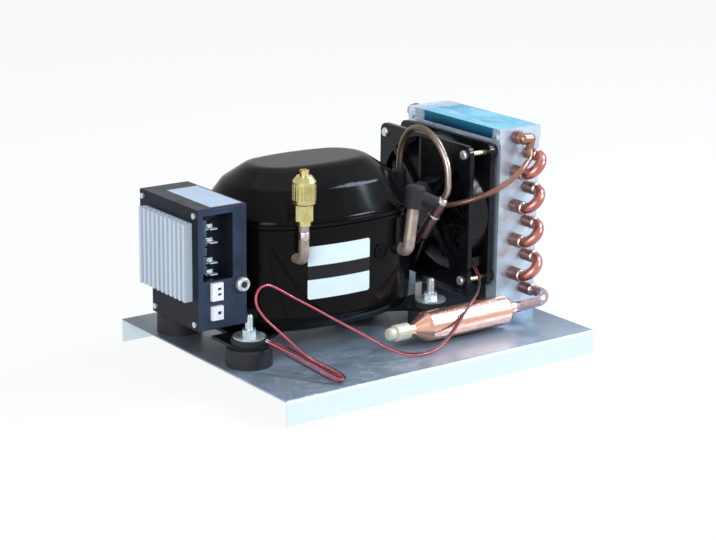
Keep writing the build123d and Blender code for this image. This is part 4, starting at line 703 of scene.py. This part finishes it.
def smooth_line(name: str, points: Sequence[Point], resolution: int = 10) -> list[Vector]:
    """Points along the smooth line of a route.

    Args:
        name: A name for the working curve.
        points: The route's points, in millimetres.
        resolution: Points for each of the route's.

    Returns:
        Points on the line, in metres.
    """
    curve = bpy.data.curves.new(name, "CURVE")
    curve.dimensions = "3D"
    spline = curve.splines.new("NURBS")
    spline.points.add(len(points) - 1)
    for knot, point in zip(spline.points, points):
        knot.co = (*(value * MM for value in point), 1.0)
    spline.order_u = 3
    spline.use_endpoint_u = True
    curve.resolution_u = resolution
    guide = bpy.data.objects.new(name, curve)
    mesh = bpy.data.meshes.new_from_object(guide)
    line = [vertex.co.copy() for vertex in mesh.vertices]
    bpy.data.meshes.remove(mesh)
    bpy.data.objects.remove(guide)
    bpy.data.curves.remove(curve)
    return line


def wire(name: str, points: Sequence[Vector], radius: float, sides: int = 3) -> Piece:
    """A round wire through points.

    Args:
        name: The piece's name.
        points: Points in metres.
        radius: Radius in metres.
        sides: Bevel steps of a quarter turn.

    Returns:
        The wire as a mesh with closed ends.
    """
    curve = bpy.data.curves.new(name, "CURVE")
    curve.dimensions = "3D"
    spline = curve.splines.new("POLY")
    spline.points.add(len(points) - 1)
    for knot, point in zip(spline.points, points):
        knot.co = (*point, 1.0)
    curve.bevel_depth = radius
    curve.bevel_resolution = sides
    curve.use_fill_caps = True
    piece = bpy.data.objects.new(name, curve)
    bpy.context.collection.objects.link(piece)
    activate([piece])
    bpy.ops.object.convert(target="MESH")
    piece = bpy.context.object
    smooth(piece, 60)
    return piece


def block(name: str, low: Point, high: Point, edge: float = 0.3) -> Piece:
    """A rounded block between two corners.

    Args:
        name: The piece's name.
        low: Lower corner, in millimetres.
        high: Upper corner, in millimetres.
        edge: Width of its rounded edges, in millimetres.

    Returns:
        The block.
    """
    deselect()
    middle = [(a + b) / 2 * MM for a, b in zip(low, high)]
    bpy.ops.mesh.primitive_cube_add(size=1.0, location=middle)
    piece = bpy.context.object
    piece.scale = [(b - a) * MM for a, b in zip(low, high)]
    settle(piece)
    bpy.ops.object.mode_set(mode="EDIT")
    bpy.ops.mesh.select_all(action="SELECT")
    bpy.ops.mesh.bevel(offset=edge * MM, segments=2)
    bpy.ops.object.mode_set(mode="OBJECT")
    piece.name = name
    return piece


# ---------------------------------------------------------------- sub-assemblies
@dataclass
class CadDressing:
    """Finishes for the nodes whose own shape stays."""

    finishes: dict[str, Stock] = field(default_factory=lambda: {
        "base_tray": Stock.TRAY,
        "foot_brackets": Stock.PLATE_BLACK,
        "foot_grommets": Stock.RUBBER,
        "foot_sleeves": Stock.ZINC_PLATE,
        "foot_bolts": Stock.ZINC_PLATE,
        "foot_washers": Stock.ZINC_PLATE,
        "foot_nuts": Stock.ZINC_PLATE,
        "shell_lower": Stock.ENAMEL,
        "shell_upper": Stock.ENAMEL,
        "hermetic_terminal": Stock.ZINC_PLATE,
        "compressor_label": Stock.BAND_LABEL,
        "suspension_springs": Stock.GROUND,
        "stator_core": Stock.LAMINATE,
        "stator_windings": Stock.WINDING,
        "motor_rotor": Stock.LAMINATE,
        "crankshaft": Stock.GROUND,
        "cylinder_block": Stock.CASTING,
        "piston": Stock.GROUND,
        "connecting_rod": Stock.GROUND,
        "cylinder_head": Stock.CASTING,
        "suction_tube": Stock.STAINED_COPPER,
        "suction_cap": Stock.RUBBER,
        "process_tube": Stock.STAINED_COPPER,
        "service_valve_body": Stock.BRASS,
        "service_valve_pin": Stock.GROUND,
        "service_valve_cap": Stock.BRASS,
        "discharge_line": Stock.LINE_COPPER,
        "discharge_sleeve": Stock.RUBBER,
        "high_side_stub": Stock.STUB_COPPER,
        "condenser_inlet_line": Stock.INLET_COPPER,
        "condenser_plate_front": Stock.ZINC_SHEET,
        "condenser_plate_back": Stock.ZINC_SHEET,
        "condenser_tubes": Stock.TUBE_COPPER,
        "condenser_bends": Stock.COPPER,
        "condenser_fins": Stock.FIN,
        "condenser_cover": Stock.ZINC_SHEET,
        "cover_film": Stock.FILM,
        "condenser_screws": Stock.ZINC_PLATE,
        "liquid_line": Stock.LIQUID_COPPER,
        "filter_drier_shell": Stock.BRIGHT_COPPER,
        "drier_core": Stock.DESICCANT,
        "drier_plug": Stock.PLUG,
        "fan_frame": Stock.FAN_PLASTIC,
        "fan_rotor": Stock.FAN_PLASTIC,
        "fan_shaft": Stock.GROUND,
        "fan_bearing": Stock.BRONZE,
        "fan_coil": Stock.WINDING,
        "fan_bolts": Stock.YELLOW_ZINC,
        "fan_spacers": Stock.RUBBER,
        "fan_nuts": Stock.ZINC_PLATE,
        "fan_lead": Stock.RED_WIRE,
        "fan_lead_hank": Stock.RED_WIRE,
        "controller_case": Stock.HOUSING,
        "controller_cover": Stock.HOUSING,
        "controller_heat_sink": Stock.SINK,
        "controller_screws": Stock.ZINC_PLATE,
        "controller_board": Stock.BOARD,
        "controller_terminals": Stock.ZINC_PLATE,
        "controller_connectors": Stock.NYLON,
        "controller_label": Stock.TOP_LABEL,
    })

    def build(self) -> None:
        """Give every node its finish."""
        for name, stock in self.finishes.items():
            PAINT.dress(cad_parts[name], stock)


@dataclass
class SolderJoints:
    """Bright rings of solder where the bends enter the tubes' bells."""

    tube_pitch: float = 28.6
    column_pitch: float = 13.5
    left_column: float = 123.5
    top_tube: float = 169.5
    rows: int = 5
    ring_radius: float = 5.0
    front: float = -58.0
    back: float = 87.0

    def places(self) -> list[Point]:
        """Where the rings lie.

        Returns:
            Their middles, in millimetres.
        """
        left = [(self.left_column, self.top_tube - row * self.tube_pitch) for row in range(self.rows)]
        right = [(self.left_column + self.column_pitch, z - self.tube_pitch / 2) for _, z in left]
        front = [(x, self.front, z) for x, z in left[1:] + right]
        return front + [(x, self.back, z) for x, z in left + right]

    def build(self) -> list[Piece]:
        """One ring, copied to each joint.

        Returns:
            The rings as one piece.
        """
        ring = turned(
            "solder_ring",
            [(-0.9, self.ring_radius * 0.93), (-0.5, self.ring_radius + 0.35), (0.3, self.ring_radius + 0.4),
             (1.0, self.ring_radius), (1.6, self.ring_radius * 0.9)],
            Vector((0, 0, 0)), FORWARD, 20,
        )
        shifts = [Vector(place) * MM for place in self.places()]
        rings = copies(ring, shifts)
        piece = join(rings, "solder_joints")
        smooth(piece, 50)
        PAINT.dress(piece, Stock.SOLDER)
        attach(piece, "unit")
        return [piece]


@dataclass
class FootHardware:
    """Threaded studs of the four compressor feet."""

    centre: Span = (-39.0, 17.0)
    spacing: Span = (175.0, 102.0)
    radius: float = 3.0
    pitch: float = 1.0
    low: float = 48.0
    high: float = 59.2
    buried: float = 6.0
    lead_in: float = 0.5
    tip: float = 1.2
    neck: float = 0.2
    root: float = 0.42
    crest: float = 0.03
    last_root: float = 0.45
    chamfer: float = 0.8

    def build(self) -> list[Piece]:
        """One threaded end, copied to each foot.

        Returns:
            The threads as one piece.
        """
        rings = [(self.low - self.buried, self.radius - self.neck)]
        height = self.low - self.buried + self.lead_in
        while height < self.high - self.tip:
            rings += [(height, self.radius - self.root), (height + self.pitch / 2, self.radius + self.crest)]
            height += self.pitch
        rings += [(height, self.radius - self.last_root), (self.high, self.radius - self.chamfer)]
        stud = turned("foot_thread", rings, Vector((0, 0, 0)), UP, 20)
        (x, y), (width, depth) = self.centre, self.spacing
        shifts = [
            Vector((x + side * width / 2, y + end * depth / 2, 0)) * MM for side in (-1, 1) for end in (-1, 1)
        ]
        piece = join(copies(stud, shifts), "foot_threads")
        smooth(piece, 30)
        PAINT.dress(piece, Stock.ZINC_PLATE)
        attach(piece, "unit")
        return [piece]


@dataclass
class ControllerDetails:
    """Terminal bar in the controller's recess, the headers' inner blocks and the fixing screw's socket."""

    front: float = -36.0
    column: float = -157.0
    headers: Sequence[tuple[float, float, int]] = ((77.9, 88.6, 3), (62.9, 70.6, 2))
    header_half: float = 3.6
    header_depth: Span = (3.1, 0.9)
    floor_depth: Span = (1.3, 0.82)
    bar: Span = (96.5, 138.5)
    bar_x: Span = (-167.7, -163.2)
    bar_cells: int = 6
    screw: Span = (-134.5, 85.5)
    screw_lift: float = 4.0
    tooth_step: float = 10.0
    tooth_every: int = 3
    tooth_from: float = 6.3
    tooth_share: float = 0.88

    def terminal_bar(self) -> Piece:
        """A row of ribbed blocks up the recess's left wall.

        Returns:
            The bar.
        """
        low, high = self.bar
        step = (high - low) / self.bar_cells
        x0, x1 = self.bar_x
        parts = [block("bar_spine", (x0, self.front + 3, low), (x1 - 1.4, self.front + 10.9, high), 0.5)]
        for index in range(self.bar_cells):
            z = low + index * step
            near, far = (x0 + 0.4, self.front + 2.2, z + 0.5), (x1, self.front + 9, z + step - 0.6)
            parts.append(block("bar_cell", near, far, 0.5))
        piece = join(parts, "terminal_bar")
        PAINT.dress(piece, Stock.BAR)
        return piece

    def header_cores(self) -> Piece:
        """White blocks in both headers, with notches open to the right.

        Returns:
            The blocks as one piece.
        """
        parts = []
        x0, x1 = self.column - self.header_half, self.column + self.header_half
        y0, y1 = (self.front - depth for depth in self.header_depth)
        for low, high, teeth in self.headers:
            parts.append(block("header_core", (x0, y0, low), (x1 - 3.6, y1, high), 0.25))
            gap = (high - low) / (2 * teeth - 1)
            for tooth in range(teeth):
                z = low + 2 * tooth * gap
                parts.append(block("header_tooth", (x1 - 3.8, y0, z), (x1, y1, z + gap), 0.2))
        piece = join(parts, "header_cores")
        PAINT.dress(piece, Stock.NYLON)
        return piece

    def header_sockets(self) -> Piece:
        """Painted shade: dark floors behind the notches.

        Returns:
            The floors as one piece.
        """
        x1 = self.column + self.header_half
        y0, y1 = (self.front - depth for depth in self.floor_depth)
        # Painted shade: dark blocks stand for the hollows behind the notches.
        parts = [
            block("header_floor", (x1 - 3.7, y0, low), (x1, y1, high), 0.1) for low, high, _ in self.headers
        ]
        piece = join(parts, "header_sockets")
        PAINT.dress(piece, Stock.SHADE_AND_BLACK)
        return piece

    def screw_head(self) -> list[Piece]:
        """Raised rim on the fixing screw, and its six-sided socket as a dark piece of painted shade.

        Returns:
            The rim and the socket.
        """
        x, z = self.screw
        base = Vector((x, self.front - self.screw_lift, z)) * MM
        outline = [(0.0, 5.2), (0.3, 5.0), (0.7, 4.5), (0.75, 3.6), (0.35, 3.3), (0.02, 3.2)]
        rim = turned("screw_rim", outline, base, FORWARD, 28)
        PAINT.dress(rim, Stock.ZINC_PLATE)
        smooth(rim, 40)
        outline = [(0.02, 2.9), (0.25, 2.8), (0.3, 1.9), (0.08, 1.7)]
        # Painted shade: a shallow dark six-sided piece stands for the socket's hollow.
        socket = turned("screw_socket", outline, base, FORWARD, 6)
        PAINT.dress(socket, Stock.SHADE_AND_BLACK)
        return [rim, socket]

    def toothed_washer(self) -> Piece:
        """Washer under the screw's head, its rim drawn in at every third corner.

        Returns:
            The washer.
        """
        x, z = self.screw
        outline = [(0.02, 7.0), (0.25, 7.1), (0.7, 6.8), (0.8, 5.8)]
        teeth = turned("toothed_washer", outline, Vector((x, self.front, z)) * MM, FORWARD, 36)
        centre = Vector((x * MM, z * MM))
        for vertex in teeth.data.vertices:
            flat = Vector((vertex.co.x, vertex.co.z)) - centre
            corner = round(math.degrees(math.atan2(flat.y, flat.x)) / self.tooth_step)
            if corner % self.tooth_every == 0 and flat.length > self.tooth_from * MM:
                flat = flat * self.tooth_share
                vertex.co.x, vertex.co.z = centre.x + flat.x, centre.y + flat.y
        PAINT.dress(teeth, Stock.SHADE_AND_BLACK)
        return teeth

    def build(self) -> list[Piece]:
        """All of them, riding on the unit.

        Returns:
            The pieces.
        """
        pieces = [self.terminal_bar(), self.header_cores(), self.header_sockets()]
        pieces += [*self.screw_head(), self.toothed_washer()]
        for piece in pieces:
            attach(piece, "unit")
        return pieces


@dataclass
class BrazeFillets:
    """Lumps of braze where the thin lines enter the high-side stub, and round the process tube."""

    top: Point = (60.5, -32.0, 122.0)
    along: Point = (-6.0, 22.0, -38.0)
    collar: Point = (-87.5, -50.0, 119.0)

    def build(self) -> list[Piece]:
        """A lump round the discharge line's end, a ring part-way down the stub and the collar.

        Returns:
            The braze as one piece.
        """
        axis = Vector(self.along).normalized()
        base = Vector(self.top) * MM
        outline = [(-2.2, 2.6), (-1.6, 3.4), (-0.5, 4.4), (0.6, 5.1), (1.6, 5.25), (2.4, 5.0)]
        lump = turned("braze_lump", outline, base, axis, 24)
        outline = [(15.0, 4.95), (15.6, 5.3), (17.4, 5.35), (18.2, 4.95)]
        ring = turned("braze_ring", outline, base, axis, 24)
        outline = [(-3.4, 3.9), (-2.8, 4.25), (0.5, 4.35), (2.6, 4.2), (3.2, 3.9)]
        collar = turned("braze_collar", outline, Vector(self.collar) * MM, UP, 24)
        piece = join([lump, ring, collar], "braze_fillets")
        smooth(piece, 50)
        PAINT.dress(piece, Stock.SOLDER)
        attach(piece, "unit")
        return [piece]


@dataclass
class FanLead:
    """The fan's twisted pair: down to the tray, up in an arch and into a folded hank."""

    route: Sequence[Point] = (
        (86, -40, 68), (85, -49, 63), (79, -60, 56.5), (68, -70, 52.5), (54, -79, 49), (40, -84.5, 40),
        (26, -88, 29), (11, -92, 22.6), (-5, -95, 22.2), (-20, -92, 23), (-34, -84.5, 30), (-48, -79.5, 39.5),
        (-63, -77, 49), (-79, -75.5, 59), (-95, -74.5, 69.5), (-111, -72, 79), (-123.5, -69.5, 87.5),
        (-133.5, -68.5, 93), (-142.5, -69.5, 90.5), (-146, -71.5, 81), (-140.5, -75, 70), (-130, -79, 59),
        (-118, -82.5, 46.5), (-106, -84, 35),
    )
    hank_low: Point = (-95.0, -104.0, 23.5)
    hank_high: Point = (-118.0, -48.5, 40.9)
    folds: Sequence[Point] = (
        (18, 1.5, 2.6), (7, 3.2, 2.4), (-4.5, 3.4, 1.8), (-7.5, -1.2, 0.9), (-4.5, -5.8, 0.2),
        (7, -6.2, -0.8), (20, -5.0, -1.4), (36, -4.5, -1.6), (50, -5.5, -1.6), (59, -5.4, -1.0),
        (63, -0.2, -0.5), (59, 5.2, -1.0), (48, 6.4, -1.6), (34, 5.4, -1.8), (20, 5.6, -1.7),
        (9, 5.6, -1.0), (-1.5, 5.0, 0.2), (-4.5, 0.6, 1.2), (-1.5, -3.8, 2.0), (9, -3.6, 2.3),
        (20, -3.0, 2.3), (34, -3.4, 2.2), (50, -4.6, 2.1), (59, -5.6, 2.2),
    )
    strand: float = 0.8
    twist: float = 600.0
    phase: float = 2.9
    strip: float = 3.0
    core: float = 0.45

    def hank_point(self, place: Point) -> Point:
        """A point of the hank.

        Args:
            place: How far along, across and above the hank's middle line it is, in millimetres.

        Returns:
            The point, in millimetres.
        """
        low, high = Vector(self.hank_low), Vector(self.hank_high)
        along = (high - low).normalized()
        across = along.cross(UP).normalized()
        above = across.cross(along)
        return tuple(low + along * place[0] + across * place[1] + above * place[2])

    def centre_line(self) -> list[Vector]:
        """The pair's middle line from the fan to its bare end."""
        points = [*self.route, *(self.hank_point(place) for place in self.folds)]
        return smooth_line("lead_route", points, 8)

    def strands(self, line: Sequence[Vector]) -> list[list[Vector]]:
        """The two strands' middle lines, turning round the pair's line.

        Args:
            line: The pair's line.

        Returns:
            The red strand's points and the black one's.
        """
        side = UP
        reach, red, black = 0.0, [], []
        for index, point in enumerate(line):
            ahead = (line[min(index + 1, len(line) - 1)] - line[max(index - 1, 0)]).normalized()
            side = (side - ahead * side.dot(ahead)).normalized()
            up = ahead.cross(side)
            if index:
                reach += (point - line[index - 1]).length
            angle = self.phase + 2 * math.pi * reach / (self.twist * MM)
            offset = (side * math.cos(angle) + up * math.sin(angle)) * self.strand * MM
            red.append(point + offset)
            black.append(point - offset)
        return [red, black]

    def build(self) -> list[Piece]:
        """The pair, with bare tinned ends.

        Returns:
            The pair as one piece.
        """
        line = self.centre_line()
        red, black = self.strands(line)
        pieces = []
        strands = (("red_strand", red, Stock.RED_WIRE), ("black_strand", black, Stock.BLACK_WIRE))
        for name, points, stock in strands:
            piece = wire(name, points, self.strand * MM)
            PAINT.dress(piece, stock)
            pieces.append(piece)
            tip = (points[-1] - points[-2]).normalized()
            end = wire(f"{name}_end", [points[-1], points[-1] + tip * self.strip * MM], self.core * MM)
            PAINT.dress(end, Stock.TINNED)
            pieces.append(end)
        pair = join(pieces, "fan_lead_pair")
        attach(pair, "unit")
        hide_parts("fan_lead", "fan_lead_hank")
        return [pair]


@dataclass(frozen=True)
class Lamp:
    """One square area lamp, with its side and places in metres and its power in watts."""

    name: str
    place: Point
    target: Point
    size: float
    power: float
    color: Color = (1, 1, 1)

    def hang(self) -> None:
        """Hang it, pointed at its target."""
        light = bpy.data.lights.new(self.name, "AREA")
        light.size = self.size
        light.energy = self.power
        light.color = self.color
        lamp = bpy.data.objects.new(self.name, light)
        lamp.location = self.place
        lamp.rotation_euler = (Vector(self.target) - Vector(self.place)).to_track_quat("-Z", "Y").to_euler()
        bpy.context.collection.objects.link(lamp)


@dataclass
class Studio:
    """Pale floor, soft lamps and the camera."""

    camera_place: Point = (-0.896755, -1.219396, 0.505184)
    azimuth: float = -37.01
    elevation: float = 15.784
    roll: float = 0.95
    lens: float = 98.19
    sensor: float = 36.0
    shift: Span = (-0.03098, -0.01884)
    floor_side: float = 8.0
    floor_seen: Color = (0.9, 0.9, 0.9)
    floor_unseen: Color = (0.42, 0.43, 0.45)
    floor_glow: float = 0.90
    sky_color: Color = (0.80, 0.86, 0.95)
    sky_strength: float = 0.45
    lamps: Sequence[Lamp] = (
        Lamp("key", (1.1, -1.15, 0.85), (0, 0, 0.08), 0.35, 16, (0.90, 0.95, 1.0)),
        Lamp("rim", (0.92, -0.34, 1.16), (0, 0, 0.12), 0.42, 13, (0.66, 0.82, 1.0)),
        Lamp("front", (-1.4, -0.9, 0.7), (0, 0, 0.08), 1.0, 20),
        Lamp("top", (0.1, 0.3, 1.5), (0, 0, 0.1), 1.0, 2),
    )

    def floor(self) -> None:
        """A white floor that keeps the unit's soft shadow."""
        deselect()
        bpy.ops.mesh.primitive_plane_add(size=self.floor_side)
        plane = bpy.context.object
        plane.name = "floor"
        graph = Graph("floor_white")
        paths = graph.node("ShaderNodeLightPath")
        tone = graph.mix(paths.outputs["Is Camera Ray"], self.floor_unseen, self.floor_seen)
        graph.set(Base_Color=tone, Roughness=0.9)
        glow = graph.node("ShaderNodeEmission", {"Color": (1, 1, 1, 1), "Strength": 1.0})
        seen = graph.math("MAXIMUM", paths.outputs["Is Camera Ray"], paths.outputs["Is Glossy Ray"])
        seen = graph.math("MAXIMUM", seen, paths.outputs["Is Transmission Ray"])
        amount = graph.math("MULTIPLY", seen, self.floor_glow)
        blend = graph.node("ShaderNodeMixShader", {0: amount, 1: graph.shader.outputs[0], 2: glow.outputs[0]})
        output = graph.tree.nodes["Material Output"]
        graph.tree.links.new(blend.outputs[0], output.inputs["Surface"])
        plane.data.materials.append(graph.material)

    def sky(self) -> None:
        """A soft world light behind a white background."""
        world = bpy.data.worlds.new("soft_world")
        bpy.context.scene.world = world
        world.use_nodes = True
        nodes, links = world.node_tree.nodes, world.node_tree.links
        background = nodes["Background"]
        background.inputs["Color"].default_value = (*self.sky_color, 1)
        background.inputs["Strength"].default_value = self.sky_strength
        white = nodes.new("ShaderNodeBackground")
        white.inputs["Strength"].default_value = 1.0
        paths = nodes.new("ShaderNodeLightPath").outputs
        seen = paths["Is Camera Ray"]
        for kind in ("Is Glossy Ray", "Is Transmission Ray"):
            either = nodes.new("ShaderNodeMath")
            either.operation = "MAXIMUM"
            links.new(seen, either.inputs[0])
            links.new(paths[kind], either.inputs[1])
            seen = either.outputs[0]
        blend = nodes.new("ShaderNodeMixShader")
        links.new(seen, blend.inputs[0])
        links.new(background.outputs[0], blend.inputs[1])
        links.new(white.outputs[0], blend.inputs[2])
        links.new(blend.outputs[0], nodes["World Output"].inputs[0])

    def camera(self) -> None:
        """The camera in the frame's axes."""
        azimuth, elevation, roll = map(math.radians, (self.azimuth, self.elevation, self.roll))
        level = math.cos(elevation)
        back = Vector((math.sin(azimuth) * level, -math.cos(azimuth) * level, math.sin(elevation)))
        right = UP.cross(back).normalized()
        up = back.cross(right)
        turned_right = right * math.cos(roll) + up * math.sin(roll)
        turned_up = up * math.cos(roll) - right * math.sin(roll)
        data = bpy.data.cameras.new("camera")
        data.lens = self.lens
        data.sensor_width = self.sensor
        data.shift_x, data.shift_y = self.shift
        camera = bpy.data.objects.new("camera", data)
        turn = Matrix((turned_right, turned_up, back)).transposed()
        camera.matrix_world = Matrix.Translation(self.camera_place) @ turn.to_4x4()
        bpy.context.collection.objects.link(camera)
        bpy.context.scene.camera = camera

    def build(self) -> None:
        """Set up the studio."""
        self.floor()
        self.sky()
        for lamp in self.lamps:
            lamp.hang()
        self.camera()
        bpy.context.scene.view_settings.view_transform = "Standard"


def main() -> None:
    """Dress the unit and light it."""
    logging.basicConfig(level=logging.INFO, format="%(name)s %(message)s")
    CadDressing().build()
    log.info("finishes on %d nodes", len(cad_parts))
    for assembly in (SolderJoints(), BrazeFillets(), FootHardware(), ControllerDetails(), FanLead()):
        for piece in assembly.build():
            log.info("%s: %d faces", piece.name, len(piece.data.polygons))
    Studio().build()


if __name__ == "__main__":
    main()
